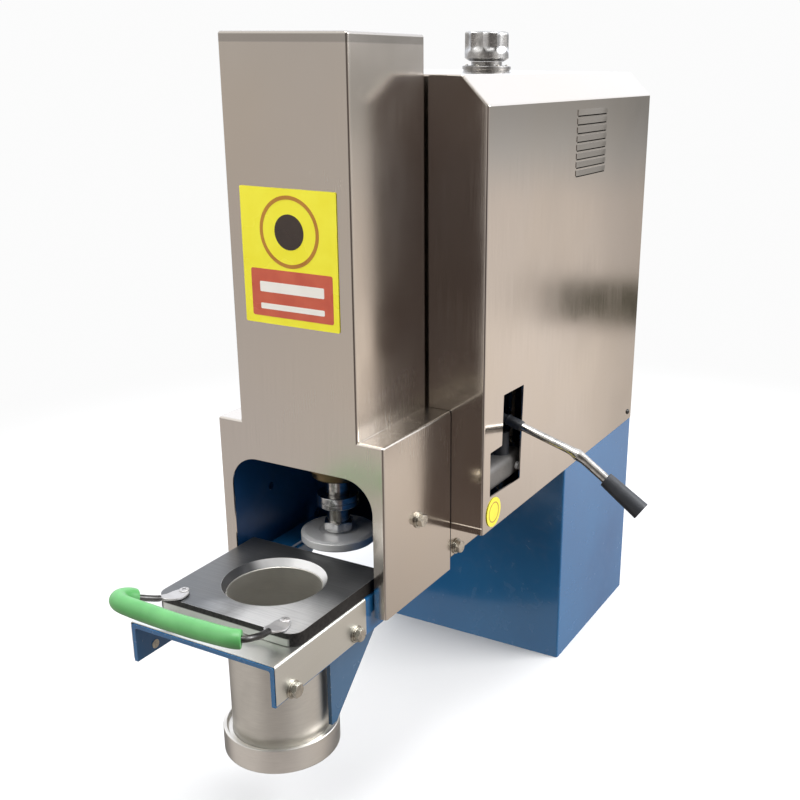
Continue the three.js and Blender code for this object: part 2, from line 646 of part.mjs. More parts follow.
function fanCover() {
  const low = MOTOR.x[1] + GAP;
  const { outer, inner, deep, slotHalf } = FAN_COVER;
  const cup = cut(
    rod("x", SHAFT, outer, [low, low + deep], 24),
    rod("x", SHAFT, inner, [low - 1, low + deep - SHEET], 24),
  );
  const slots = FAN_COVER.slots.map((offset) => {
    const z = MOTOR.z + offset;
    return block(
      [low + deep - 11, low + deep + 9], [MOTOR.y - slotHalf, MOTOR.y + slotHalf], [z - 3, z + 3],
    );
  });
  return cut(cup, ...slots);
}

function pump() {
  const face = MOTOR.x[0];
  const { bellInner, bell: outer, bellDeep, back, halfY, halfZ } = PUMP;
  const bell = sleeve("x", SHAFT, bellInner, outer, [face - bellDeep, face - GAP], 20);
  const body = block(
    [face - back, face - bellDeep + 1], [MOTOR.y - halfY, MOTOR.y + halfY],
    [MOTOR.z - halfZ, MOTOR.z + halfZ],
  );
  return cut(join(bell, body), rod("x", SHAFT, MOTOR.shaft + 0.5, [face - 50, face - 20], 16));
}

place("motor_shell", motorShell(), castGrey);
place("motor_stator", sleeve("x", SHAFT, AIR.rotor + 1, AIR.stator, [-30, 70], 20), copper);
place("motor_rotor", rotor(), darkSteel);
place("motor_fan", fan(), blackPlastic);
place("fan_cover", fanCover(), blackPlastic);
place("pump_body", pump(), castGrey);

// ---------------------------------------------------------------- valve and lever
// A low block with a neck round the spool and two ears for the lever's pin.
function valveBody() {
  const { x, y, z, neck, spoolX, spool } = VALVE;
  const axis = [spoolX, LEVER.y, 0];
  const ears = EARS.y.map((reach) => block([x[0], EARS.x], reach, [z[1] - 1, EARS.top]));
  const collar = rod("z", axis, spool + 3.5, [z[1] - 1, neck], 16);
  const bore = rod("z", axis, spool + GAP, [z[0] - 1, neck + 1], 20);
  const pin = rod("y", [LEVER.x, 0, LEVER.z], PIN.hole, y, 12);
  return cut(join(block(x, y, z), collar, ...ears), bore, pin);
}

const KNEE = { x: 190, z: 90 };
const ARM_TILT = 34.6 * Math.PI / 180;
const GRIP_REACH = { start: 36.6, end: 83.2, socket: 78 };

// A point on the lever's outer arm, at a distance beyond the knee.
const onArm = (distance) => [
  KNEE.x + distance * Math.cos(ARM_TILT), LEVER.y, KNEE.z - distance * Math.sin(ARM_TILT),
];

// A straight round bar between two points, with one radius or one for each end.
function bar(from, to, radius, sides = 14) {
  const [a, b] = [new THREE.Vector3(...from), new THREE.Vector3(...to)];
  const line = b.clone().sub(a);
  const [start, end] = Array.isArray(radius) ? radius : [radius, radius];
  const geometry = new THREE.CylinderGeometry(end, start, line.length(), sides);
  geometry.applyQuaternion(
    new THREE.Quaternion().setFromUnitVectors(new THREE.Vector3(0, 1, 0), line.clone().normalize()),
  );
  const middle = a.add(b).multiplyScalar(0.5);
  geometry.translate(middle.x, middle.y, middle.z);
  return solid(geometry);
}

function leverRod() {
  const knee = [KNEE.x, LEVER.y, KNEE.z];
  const boss = rod("y", [LEVER.x, LEVER.y, LEVER.z], 6.5, [-6, 6], 16);
  const inner = bar([LEVER.x, LEVER.y, LEVER.z], knee, LEVER.inner, 12);
  const elbow = new THREE.SphereGeometry(LEVER.knee, 10, 8);
  elbow.translate(...knee);
  const outer = bar(knee, onArm(GRIP_REACH.socket - 1), LEVER.outer, 12);
  const pin = rod("y", [LEVER.x, LEVER.y, LEVER.z], PIN.hole, [-20, 20], 12);
  return cut(join(boss, inner, solid(elbow), outer), pin);
}

// The grip widens towards its end.
function leverGrip() {
  const grip = bar(onArm(GRIP_REACH.start), onArm(GRIP_REACH.end), LEVER.grip, 16);
  const socket = bar(onArm(GRIP_REACH.start - 5), onArm(GRIP_REACH.socket), LEVER.outer + 0.5, 12);
  return cut(grip, socket);
}

place("valve_body", valveBody(), castGrey);
place("lever_pin", rod("y", [LEVER.x, LEVER.y, LEVER.z], PIN.radius, [-13, 13], 12), brightSteel);
const SPOOL_TOP = { land: 98, head: 108.5, radius: 3 };
place("valve_spool", turned("z", [VALVE.spoolX, LEVER.y, 0], [
  [0, VALVE.z[0] - 12], [VALVE.spool, VALVE.z[0] - 12], [VALVE.spool, SPOOL_TOP.land],
  [SPOOL_TOP.radius, SPOOL_TOP.land], [SPOOL_TOP.radius, SPOOL_TOP.head], [0, SPOOL_TOP.head],
], 14), chrome);
place("lever_rod", leverRod(), chrome);
place("lever_grip", leverGrip(), blackPlastic);

// ---------------------------------------------------------------- hydraulic pipes
const behind = VALVE.y[1] + GAP;
const portEnd = PORTS.end + GAP;
const PIPES = {
  cap: [
    [110, behind, 68], [110, 232, 68], [109, 244, 120], [104, 240, 205], [60, 215, 230],
    [-10, 150, 260], [-15, 136, 300], [-15, 136, 395], [-15, 118, 412], [-15, portEnd, 412],
  ],
  rod: [
    [97, behind, 71], [97, 230, 71], [97, 240, 140], [92, 232, 205], [50, 190, 212],
    [18, 142, 190], [15, 118, 165], [15, portEnd, 165],
  ],
  pump: [
    [-95, MOTOR.y, -99.7], [-95, MOTOR.y, -80], [-70, MOTOR.y, -30], [-50, 430, 10],
    [-45, 420, 60], [0, 330, 80], [55, 253, 80], [90, 250, 76], [110, 234, 57], [110, behind, 57],
  ],
  tank: [[97, behind, 57], [97, 254, 57], [97, 292, 95], [97, 303, 150], [97, 303, 199.2]],
};
for (const [name, route] of Object.entries(PIPES)) {
  place(`pipe_${name}`, swept(route, 4, { steps: 3 * route.length, sides: 6 }), brightSteel);
}

// ---------------------------------------------------------------- switch and labels
const SWITCH = { y: 210, z: 95, high: 13, body: [22, 30], well: [12, 20], rocker: [11.4, 17] };
const wall = -CASING.half;
const around = (middle, half) => [middle - half, middle + half];

function switchBox() {
  const { y, z, high, body, well } = SWITCH;
  return cut(
    block([wall - high, wall - GAP], around(y, body[0]), around(z, body[1])),
    block([wall - high - 1, wall - 2], around(y, well[0]), around(z, well[1])),
  );
}

function switchRocker() {
  const { y, z, rocker } = SWITCH;
  const [half, reach] = rocker;
  return plate("y", [
    [z - reach, wall - 8], [z - reach, wall - 12], [z, wall - 14],
    [z + reach, wall - 16], [z + reach, wall - 8], [z, wall - 6],
  ], around(y, half));
}

place("switch_housing", switchBox(), blackPlastic);
place("switch_rocker", switchRocker(), finish(0x2f9e44, 0.4, 0));

const FILM = 0.5;
const FRONT_LABEL = { x: [-49, 49.6], z: [237, 354] };
const ROUND_LABEL = { y: 142, z: 36, radius: 15 };
place("front_label", block(FRONT_LABEL.x, [-GAP - FILM, -GAP], FRONT_LABEL.z), yellowFilm);
const labelCentre = [CASING.half + GAP, ROUND_LABEL.y, ROUND_LABEL.z];
place("round_label", rod("x", labelCentre, ROUND_LABEL.radius, [0, FILM], 28), yellowFilm);

export default machine;
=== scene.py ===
"""Bench-top hydraulic press with a sliding tray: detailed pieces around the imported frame."""
import json
import math
import bmesh
import bpy
from mathutils import Matrix, Vector


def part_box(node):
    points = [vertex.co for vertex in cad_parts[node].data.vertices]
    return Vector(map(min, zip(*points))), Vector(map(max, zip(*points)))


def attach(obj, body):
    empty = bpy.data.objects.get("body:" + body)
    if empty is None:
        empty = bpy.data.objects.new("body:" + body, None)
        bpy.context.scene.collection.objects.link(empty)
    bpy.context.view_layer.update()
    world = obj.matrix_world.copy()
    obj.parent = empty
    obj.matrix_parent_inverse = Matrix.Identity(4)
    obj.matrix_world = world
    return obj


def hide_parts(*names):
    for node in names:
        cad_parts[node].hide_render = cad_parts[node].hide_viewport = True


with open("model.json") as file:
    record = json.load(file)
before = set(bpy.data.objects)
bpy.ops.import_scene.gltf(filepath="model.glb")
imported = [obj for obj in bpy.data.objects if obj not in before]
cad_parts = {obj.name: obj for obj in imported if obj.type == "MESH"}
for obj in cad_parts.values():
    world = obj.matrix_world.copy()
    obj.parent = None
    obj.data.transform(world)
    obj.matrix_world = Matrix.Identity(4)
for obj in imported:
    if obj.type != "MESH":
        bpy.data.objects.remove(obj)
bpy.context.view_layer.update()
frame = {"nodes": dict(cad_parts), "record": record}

# ---------------------------------------------------------------- the press frame
# Shapes are drawn in millimetres: X = 0 on the centre plane, Y = 0 on the cover's front
# face, Z = 0 on the table's top. place() moves them into the row frame, in metres.
MM = 0.001
ORIGIN = Vector((0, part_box("front_cover")[0].y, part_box("table_cladding")[1].z))
TO_ROW = Matrix.Translation(ORIGIN) @ Matrix.Scale(MM, 4)
BODY = {node: body for body, nodes in frame["record"]["behaviour"]["bodies"].items() for node in nodes}
SLOT = {part["node"]: part["material_slot"] for part in frame["record"]["subparts"]}
SIDES = {"left": -1, "right": 1}


def local(node):
    """A node's lowest and highest corner in the press frame, in millimetres."""
    return [(corner - ORIGIN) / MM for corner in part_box(node)]


def middle_of(node):
    """The middle of a node's box in the press frame: x, y and z."""
    return [(low + high) / 2 for low, high in zip(*local(node))]


SHEET = 1.5
SHEET_FOLD = 2.6
EDGE = 0.25
COVER_LOW, COVER_HIGH = local("front_cover")
CASING_LOW, CASING_HIGH = local("rear_casing")
BASE_LOW, BASE_HIGH = local("base_shell")
ARM_LOW, ARM_HIGH = local("arm_cover")
TABLE_LOW, TABLE_HIGH = local("table_cladding")
TRAY_LOW, TRAY_HIGH = local("tray_plate")
TOWER = {"half": 64, "back": 116}
HOUSING_TOP = 141
OPENING = {"half": 78, "top": 105.5, "radius": 30}
WINDOW = {"half": 40, "reach": (150, 430)}
CASING_CUT = {"wide": 26, "high": 25}
TUBE_Y = middle_of("pressing_tube")[1]
RAM_Y = middle_of("ram_disc")[1]


# ---------------------------------------------------------------- drawing shapes
AXES = {"x": (1, 2, 0), "y": (0, 2, 1), "z": (0, 1, 2)}


def solid(bm, name="shape"):
    bmesh.ops.recalc_face_normals(bm, faces=bm.faces)
    mesh = bpy.data.meshes.new(name)
    bm.to_mesh(mesh)
    bm.free()
    shape = bpy.data.objects.new(name, mesh)
    bpy.context.scene.collection.objects.link(shape)
    return shape


def rounded(points, steps=4, closed=True):
    """An outline in which a corner with a third number is rounded by that radius."""
    outline = []
    for i, point in enumerate(points):
        corner = Vector(point[:2])
        at_end = not closed and i in (0, len(points) - 1)
        if len(point) < 3 or at_end:
            outline.append(corner)
            continue
        before = (Vector(points[i - 1][:2]) - corner).normalized()
        after = (Vector(points[(i + 1) % len(points)][:2]) - corner).normalized()
        half = before.angle(after) / 2
        middle = corner + (before + after).normalized() * point[2] / math.sin(half)
        start = corner + before * point[2] / math.tan(half) - middle
        end = corner + after * point[2] / math.tan(half) - middle
        turn = math.pi - 2 * half
        for k in range(steps + 1):
            share = k / steps
            arm = start * math.sin((1 - share) * turn) + end * math.sin(share * turn)
            outline.append(middle + arm / math.sin(turn))
    return outline


def along(axis):
    """Picks the edges that run along an axis."""
    return lambda middle, line: abs(line["xyz".index(axis)]) > 0.999


def folded_above(level):
    """Picks the edges along Y that lie above a level: the folds of a channel."""
    return lambda middle, line: abs(line.y) > 0.999 and middle.z > level


def round_edges(bm, radius, pick):
    edges = []
    for edge in bm.edges:
        a, b = (vert.co for vert in edge.verts)
        if pick((a + b) / 2, (b - a).normalized()):
            edges.append(edge)
    bmesh.ops.bevel(bm, geom=edges, offset=radius, segments=4, profile=0.5, affect="EDGES")


def prism(axis, outline, low, high, folds=()):
    """A flat outline pulled along an axis. Each fold is a radius and a test that picks edges."""
    u, v, w = AXES[axis]
    bm = bmesh.new()
    rings = []
    for level in (low, high):
        ring = []
        for point in outline:
            spot = [0.0, 0.0, 0.0]
            spot[u], spot[v], spot[w] = point[0], point[1], level
            ring.append(bm.verts.new(spot))
        bm.faces.new(ring)
        rings.append(ring)
    for i in range(len(outline)):
        k = (i + 1) % len(outline)
        bm.faces.new((rings[0][i], rings[0][k], rings[1][k], rings[1][i]))
    bmesh.ops.recalc_face_normals(bm, faces=bm.faces)
    for radius, pick in folds:
        round_edges(bm, radius, pick)
    return solid(bm)


def block(x, y, z, folds=()):
    return prism("z", [(x[0], y[0]), (x[1], y[0]), (x[1], y[1]), (x[0], y[1])], *z, folds)


def span(half):
    return (-half, half)


def sided(sign, low, high):
    return (low, high) if sign > 0 else (-high, -low)


def turned(axis, centre, profile, sides=72, shape_radius=None):
    """A turned piece: the profile holds radii and distances along the axis."""
    u, v, w = AXES[axis]
    bm = bmesh.new()
    rings = []
    for radius, reach in profile:
        ring = []
        for i in range(1 if radius == 0 else sides):
            turn = 2 * math.pi * i / sides
            size = shape_radius(turn, radius, reach) if shape_radius else radius
            spot = list(centre)
            spot[u] += size * math.cos(turn)
            spot[v] += size * math.sin(turn)
            spot[w] += reach
            ring.append(bm.verts.new(spot))
        rings.append(ring)
    pairs = list(zip(rings, rings[1:]))
    if len(rings[0]) > 1:
        pairs.append((rings[-1], rings[0]))
    for one, two in pairs:
        if len(one) == len(two) == 1:
            continue
        for i in range(sides):
            corners = [one[i % len(one)], one[(i + 1) % len(one)]]
            corners += [two[(i + 1) % len(two)], two[i % len(two)]]
            bm.faces.new(list(dict.fromkeys(corners)))
    return solid(bm)


def rod(axis, centre, radius, low, high, sides=48, soft=0.0):
    profile = rounded([(0, low), (radius, low, soft), (radius, high, soft), (0, high)], 2, False) \
        if soft else [(0, low), (radius, low), (radius, high), (0, high)]
    return turned(axis, centre, profile, sides)


def through(points, steps=6):
    """A smooth path through the points."""
    path = []
    knots = [Vector(point) for point in points]
    knots = [2 * knots[0] - knots[1], *knots, 2 * knots[-1] - knots[-2]]
    for a, b, c, d in zip(knots, knots[1:], knots[2:], knots[3:]):
        for k in range(steps):
            t = k / steps
            bend = (2 * a - 5 * b + 4 * c - d) * t * t + (3 * b - a - 3 * c + d) * t ** 3
            path.append((2 * b + (c - a) * t + bend) / 2)
    return [*path, knots[-2]]


def swept(path, radius, sides=20, bore=0.0):
    """A round bar along a path; the radius may be a function of the share of the way."""
    bm = bmesh.new()
    size = radius if callable(radius) else (lambda share: radius)
    side = (path[1] - path[0]).orthogonal().normalized()
    rings = []
    for i, spot in enumerate(path):
        ahead = (path[min(i + 1, len(path) - 1)] - path[max(i - 1, 0)]).normalized()
        side = (side - ahead * side.dot(ahead)).normalized()
        other = ahead.cross(side)
        layers = [size(i / (len(path) - 1))] + ([bore] if bore else [])
        rings.append([
            [bm.verts.new(spot + reach * (side * math.cos(a) + other * math.sin(a)))
             for a in (2 * math.pi * k / sides for k in range(sides))]
            for reach in layers
        ])
    for one, two in zip(rings, rings[1:]):
        for layer in range(len(one)):
            for k in range(sides):
                m = (k + 1) % sides
                bm.faces.new((one[layer][k], one[layer][m], two[layer][m], two[layer][k]))
    for end in (rings[0], rings[-1]):
        if not bore:
            bm.faces.new(end[0])
            continue
        for k in range(sides):
            m = (k + 1) % sides
            bm.faces.new((end[0][k], end[0][m], end[1][m], end[1][k]))
    return solid(bm)


def freeze(shape):
    """Turns a shape's modifiers into its own mesh."""
    graph = bpy.context.evaluated_depsgraph_get()
    mesh = bpy.data.meshes.new_from_object(shape.evaluated_get(graph))
    shape.modifiers.clear()
    shape.data = mesh
    return shape


def combine(operation, target, tools):
    for tool in tools:
        step = target.modifiers.new("step", "BOOLEAN")
        step.operation = operation
        step.solver = "EXACT"
        step.object = tool
        freeze(target)
        bpy.data.objects.remove(tool)
    return target


def cut(target, *tools):
    return combine("DIFFERENCE", target, tools)


def join(target, *tools):
    return combine("UNION", target, tools)


def gather(shapes):
    """Several closed shapes as one mesh object, without joining their surfaces."""
    bm = bmesh.new()
    for shape in shapes:
        shape.data.transform(shape.matrix_basis)
        bm.from_mesh(shape.data)
        bpy.data.objects.remove(shape)
    return solid(bm)


def moved(shape, matrix):
    shape.data.transform(matrix)
    return shape


def place(name, shape, finish, stands_for=(), body="frame", slot=None, edge=EDGE, crease=32):
    """Makes a drawn shape a piece of the machine: soft edges, metres, material and body."""
    nodes = (stands_for,) if isinstance(stands_for, str) else stands_for
    shape.name = name
    if edge:
        soften = shape.modifiers.new("soften", "BEVEL")
        soften.width = edge
        soften.segments = 2
        soften.limit_method = "ANGLE"
        soften.angle_limit = math.radians(crease)
        soften.harden_normals = False
        freeze(shape)
    shape.data.name = name
    shape.data.transform(TO_ROW)
    shape.data.shade_smooth()
    shape.data.set_sharp_from_angle(angle=math.radians(crease))
    shape.modifiers.new("normals", "WEIGHTED_NORMAL").keep_sharp = True
    shape.data.materials.clear()
    shape.data.materials.append(finish)
    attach(shape, BODY[nodes[0]] if nodes else body)
    SLOT[nodes[0]] if nodes else slot
    if nodes:
        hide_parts(*nodes)
    return shape


# ---------------------------------------------------------------- materials
class Nodes:
    """Short calls that add linked shader nodes to a tree."""

    def __init__(self, tree):
        self.tree = tree

    def add(self, kind, sockets=None, **settings):
        node = self.tree.nodes.new(kind)
        for key, value in settings.items():
            setattr(node, key, value)
        for key, value in (sockets or {}).items():
            if isinstance(value, bpy.types.NodeSocket):
                self.tree.links.new(value, node.inputs[key])
            else:
                node.inputs[key].default_value = value
        return node

    def spread(self, value, low, high, start=0.3, end=0.7, soft=False):
        sockets = {"Value": value, "From Min": start, "From Max": end, "To Min": low, "To Max": high}
        kind = "SMOOTHSTEP" if soft else "LINEAR"
        return self.add("ShaderNodeMapRange", sockets, interpolation_type=kind).outputs[0]

    def math(self, operation, a, b):
        return self.add("ShaderNodeMath", {0: a, 1: b}, operation=operation).outputs[0]

    def mix(self, share, one, two):
        colors = [value if isinstance(value, bpy.types.NodeSocket) else (*value, 1) for value in (one, two)]
        node = self.add("ShaderNodeMix", {0: share, 6: colors[0], 7: colors[1]}, data_type="RGBA")
        return node.outputs[2]

    def ramp(self, value, stops):
        node = self.add("ShaderNodeValToRGB", {0: value})
        points = node.color_ramp.elements
        while len(points) < len(stops):
            points.new(0.5)
        for point, (position, color) in zip(points, stops):
            point.position = position
            point.color = (*color, 1)
        return node.outputs[0]


class Finish(Nodes):
    """A material on the Principled shader."""

    def __init__(self, name, color, metallic, roughness, **sockets):
        self.material = bpy.data.materials.new(name)
        self.material.use_nodes = True
        super().__init__(self.material.node_tree)
        self.surface = self.tree.nodes["Principled BSDF"]
        self.set("Base Color", (*color, 1))
        self.set("Metallic", metallic)
        self.set("Roughness", roughness)
        for socket, value in sockets.items():
            self.set(socket.replace("_", " "), value)
        self.spot = self.add("ShaderNodeTexCoord").outputs["Object"]

    def set(self, socket, value):
        target = self.surface.inputs[socket]
        if isinstance(value, bpy.types.NodeSocket):
            self.tree.links.new(value, target)
        else:
            target.default_value = value

    def noise(self, scale, detail=2.0, stretch=(1, 1, 1), distortion=0.0):
        spot = self.add("ShaderNodeMapping", {"Vector": self.spot, "Scale": [scale * s for s in stretch]})
        sockets = {"Vector": spot.outputs[0], "Scale": 1.0, "Detail": detail, "Distortion": distortion}
        return self.add("ShaderNodeTexNoise", sockets).outputs[0]

    def bump(self, height, strength, distance):
        sockets = {"Height": height, "Strength": strength, "Distance": distance}
        if self.surface.inputs["Normal"].is_linked:
            sockets["Normal"] = self.surface.inputs["Normal"].links[0].from_socket
        self.set("Normal", self.add("ShaderNodeBump", sockets).outputs[0])

    def edges(self, radius, start, end):
        """One along sharp outer edges, nought on flat faces."""
        soft = self.add("ShaderNodeBevel", {"Radius": radius}, samples=4).outputs[0]
        plain = self.add("ShaderNodeNewGeometry").outputs["Normal"]
        dot = self.add("ShaderNodeVectorMath", {0: soft, 1: plain}, operation="DOT_PRODUCT")
        return self.spread(self.math("SUBTRACT", 1.0, dot.outputs["Value"]), 0.0, 1.0, start, end)


def sheet_steel(name, color, grain=(1, 1, 0.012), rough=(0.16, 0.26), waves=0.2, darker_above=None):
    """Brushed stainless sheet: fine grain, broad smudges and slight waves of the sheet.
    Above a given height the sheet's colour is a little darker."""
    finish = Finish(name, color, 1.0, 0.28)
    lines = finish.noise(1500, 2, grain)
    smudge = finish.noise(9, 5, distortion=0.6)
    stain = finish.noise(3.2, 3)
    warmer = (color[0] * 1.0, color[1] * 0.965, color[2] * 0.9)
    base = finish.mix(finish.spread(lines, 0.0, 0.3), color, [0.84 * c for c in color])
    base = finish.mix(finish.spread(stain, 0.0, 0.8, 0.42, 0.68), base, warmer)
    if darker_above:
        height = finish.add("ShaderNodeSeparateXYZ", {0: finish.spot}).outputs["Z"]
        darker_band = finish.spread(height, 0.0, 0.75, darker_above - 0.0006, darker_above + 0.0006)
        base = finish.mix(darker_band, base, [0.62 * c for c in color])
    finish.set("Base Color", base)
    gloss = finish.spread(smudge, rough[0], rough[1])
    gloss = finish.math("ADD", gloss, finish.spread(lines, -0.02, 0.03))
    finish.set("Roughness", gloss)
    finish.bump(finish.noise(5.5, 1), waves, 0.003)
    finish.bump(lines, 0.025, 0.0002)
    return finish.material


def turned_steel(name, color, rough=(0.16, 0.3), metallic=1.0):
    """Machined steel: fine turning marks across the axis and a thin oil film."""
    finish = Finish(name, color, metallic, 0.25)
    marks = finish.noise(1400, 2, (0.05, 0.05, 1))
    film = finish.noise(26, 4, distortion=0.8)
    shade = finish.mix(finish.spread(film, 0.0, 0.6), color, [0.86 * c for c in color])
    finish.set("Base Color", finish.mix(finish.spread(marks, 0.0, 0.3), shade, [0.8 * c for c in color]))
    gloss = finish.spread(film, *rough)
    finish.set("Roughness", finish.math("ADD", gloss, finish.spread(marks, -0.03, 0.05)))
    finish.bump(marks, 0.05, 0.0002)
    return finish.material


def plate_steel():
    """The tray's oiled plate: dark, with a painted highlight beside the hole: lighter and rougher round a
    spot in front of it.
    """
    color = (0.14, 0.145, 0.15)
    finish = Finish("tray_steel", color, 0.9, 0.4)
    lines = finish.noise(900, 3, (0.02, 1, 1))
    film = finish.noise(14, 5, distortion=1.1)
    # painted highlight: the plate's colour turns light round a spot in front of the hole
    away = finish.add("ShaderNodeVectorMath", {0: finish.spot, 1: TO_ROW @ HIGHLIGHT_SPOT}, operation="DISTANCE")
    reach = finish.math("ADD", away.outputs["Value"], finish.spread(film, -0.012, 0.012))
    brightened = finish.spread(reach, 1.0, 0.0, 0.018, 0.07, soft=True)
    patches = finish.spread(finish.noise(120, 3), 0.3, 1.0)
    worn = finish.math("MULTIPLY", finish.edges(0.0012, 0.03, 0.2), patches)
    shade = finish.mix(finish.spread(film, 0.0, 0.8), color, (0.2, 0.2, 0.2))
    shade = finish.mix(brightened, shade, (0.74, 0.74, 0.74))
    shade = finish.mix(finish.spread(lines, 0.0, 0.25), shade, (0.1, 0.1, 0.105))
    finish.set("Base Color", finish.mix(worn, shade, (0.6, 0.59, 0.57)))
    gloss = finish.math("ADD", finish.spread(film, 0.34, 0.46), finish.spread(lines, -0.03, 0.05))
    finish.set("Roughness", finish.math("ADD", gloss, finish.math("MULTIPLY", brightened, 0.12)))
    finish.bump(lines, 0.05, 0.0002)
    return finish.material


def mouth_painted_light():
    """The tray's funnel: a painted highlight at the rear, painted shade towards the front."""
    finish = Finish("mouth_painted_light", (0.5, 0.5, 0.5), 0.5, 0.34)
    marks = finish.noise(1400, 2, (0.05, 0.05, 1))
    along_tray = finish.add("ShaderNodeSeparateXYZ", {0: finish.spot}).outputs["Y"]
    middle = (TO_ROW @ Vector((0, TUBE_Y, 0))).y
    # painted light: the funnel's colour is bright towards the rear and dark towards the front
    brightened = finish.spread(along_tray, 0, 1, middle + 0.016, middle + 0.036, soft=True)
    finish.set("Base Color", finish.mix(brightened, (0.09, 0.09, 0.092), (0.96, 0.96, 0.97)))
    finish.set("Roughness", finish.spread(marks, 0.28, 0.4))
    finish.bump(marks, 0.05, 0.0002)
    return finish.material


def plate_edge():
    """The tray's sawn edges: blackened, but lighter low on the front edge."""
    finish = Finish("blackened_edge", (0.05, 0.05, 0.052), 1.0, 0.42)
    grit = finish.noise(420, 4)
    split = finish.add("ShaderNodeSeparateXYZ", {0: finish.spot}).outputs
    front = (TO_ROW @ TRAY_LOW).y
    top = (TO_ROW @ TRAY_HIGH).z
    brightened = finish.math("MULTIPLY", finish.spread(split["Y"], 1, 0, front + 0.0003, front + 0.0012),
                         finish.spread(split["Z"], 1, 0, top - 0.0058, top - 0.0048))
    shade = finish.mix(finish.spread(grit, 0.0, 0.5), (0.03, 0.03, 0.032), (0.09, 0.088, 0.085))
    finish.set("Base Color", finish.mix(brightened, shade, (0.62, 0.63, 0.62)))
    finish.set("Roughness", finish.spread(grit, 0.35, 0.5))
    finish.bump(grit, 0.08, 0.0003)
    return finish.material


def gloss_paint(name, color, light, rough=(0.14, 0.24), density=1.6, lacquer=0.3):
    """Sprayed enamel: orange peel, uneven film, dust and chips along the edges."""
    finish = Finish(name, color, 0.0, 0.2, IOR=density, Coat_Weight=lacquer, Coat_Roughness=0.08)
    cloud = finish.noise(4.5, 4)
    dust = finish.noise(70, 5, distortion=0.4)
    chipped = finish.spread(finish.noise(310, 4), 0.0, 1.0, 0.56, 0.64)
    chips = finish.math("MULTIPLY", finish.edges(0.0016, 0.06, 0.3), chipped)
    shade = finish.mix(finish.spread(cloud, 0.0, 1.0), color, light)
    shade = finish.mix(finish.spread(dust, 0.0, 0.02, 0.5, 0.75), shade, (0.5, 0.52, 0.54))
    finish.set("Base Color", finish.mix(chips, shade, (0.34, 0.35, 0.36)))
    gloss = finish.spread(cloud, *rough)
    finish.set("Roughness", finish.math("ADD", gloss, finish.spread(dust, 0.0, 0.14, 0.5, 0.8)))
    finish.bump(finish.noise(260, 1), 0.06, 0.0005)
    finish.bump(finish.noise(5.0, 1), 0.25, 0.003)
    return finish.material


def cast_paint():
    """Satin grey paint over a rough casting."""
    finish = Finish("cast_grey", (0.16, 0.165, 0.17), 0.25, 0.5)
    grit = finish.noise(700, 4)
    film = finish.noise(24, 5)
    shade = finish.mix(finish.spread(film, 0.0, 1.0), (0.12, 0.115, 0.11), (0.2, 0.19, 0.18))
    worn = finish.edges(0.001, 0.05, 0.3)
    finish.set("Base Color", finish.mix(worn, shade, (0.42, 0.42, 0.42)))
    finish.set("Roughness", finish.spread(grit, 0.38, 0.62))
    finish.bump(grit, 0.3, 0.0005)
    return finish.material


def plated_steel(name, color, rough=(0.14, 0.34)):
    """Zinc-plated or polished small parts, with stained hollows and bright corners."""
    finish = Finish(name, color, 1.0, 0.2)
    film = finish.noise(160, 4, distortion=0.5)
    bright = finish.edges(0.0008, 0.05, 0.3)
    shade = finish.mix(finish.spread(film, 0.0, 1.0, 0.4, 0.7), color, [0.55 * c for c in color])
    finish.set("Base Color", finish.mix(bright, shade, [min(1.0, 1.25 * c) for c in color]))
    finish.set("Roughness", finish.spread(film, *rough))
    finish.bump(finish.noise(1300, 2), 0.06, 0.0002)
    return finish.material


def soft_sleeve():
    """The grip's green vinyl sleeve: soft gloss, slight mottling, rubbed streaks."""
    finish = Finish("green_vinyl", (0.09, 0.36, 0.1), 0.0, 0.4, Subsurface_Weight=0.12, Coat_Weight=0.15)
    finish.set("Subsurface Radius", (0.004, 0.012, 0.004))
    mottle = finish.noise(45, 4)
    fine = finish.noise(900, 2)
    shade = finish.mix(finish.spread(mottle, 0.0, 1.0), (0.08, 0.31, 0.09), (0.12, 0.4, 0.13))
    finish.set("Base Color", shade)
    finish.set("Roughness", finish.spread(mottle, 0.34, 0.48))
    finish.bump(fine, 0.12, 0.0003)
    finish.bump(finish.noise(60, 1), 0.25, 0.001)
    return finish.material


def moulded_plastic(name, color, light, rough=(0.38, 0.55)):
    """Moulded plastic or rubber with a fine eroded texture and rubbed edges."""
    finish = Finish(name, color, 0.0, 0.45)
    grain = finish.noise(1600, 3)
    film = finish.noise(40, 4)
    rub = finish.edges(0.001, 0.05, 0.35)
    finish.set("Base Color", finish.mix(finish.math("MULTIPLY", rub, 0.5), finish.mix(
        finish.spread(film, 0.0, 1.0), color, light), [min(1.0, 2.2 * c + 0.03) for c in color]))
    finish.set("Roughness", finish.spread(film, *rough))
    finish.bump(grain, 0.22, 0.0003)
    return finish.material


def printed_film(name, color, light):
    """Glossy printed vinyl, slightly uneven where it sticks to the sheet."""
    finish = Finish(name, color, 0.0, 0.3, Coat_Weight=0.5, Coat_Roughness=0.1)
    ink = finish.noise(55, 4)
    finish.set("Base Color", finish.mix(finish.spread(ink, 0.0, 1.0), color, light))
    finish.set("Roughness", finish.spread(finish.noise(18, 3), 0.24, 0.4))
    finish.bump(finish.noise(28, 2), 0.18, 0.0008)
    return finish.material


def wound_copper():
    finish = Finish("wound_copper", (0.5, 0.24, 0.12), 0.9, 0.4)
    turns = finish.noise(500, 2, (0.1, 1, 1))
    shade = finish.spread(turns, 0.0, 1.0)
    finish.set("Base Color", finish.mix(shade, (0.56, 0.26, 0.12), (0.3, 0.12, 0.05)))
    finish.set("Roughness", finish.spread(turns, 0.3, 0.5))
    finish.bump(turns, 0.4, 0.0006)
    return finish.material
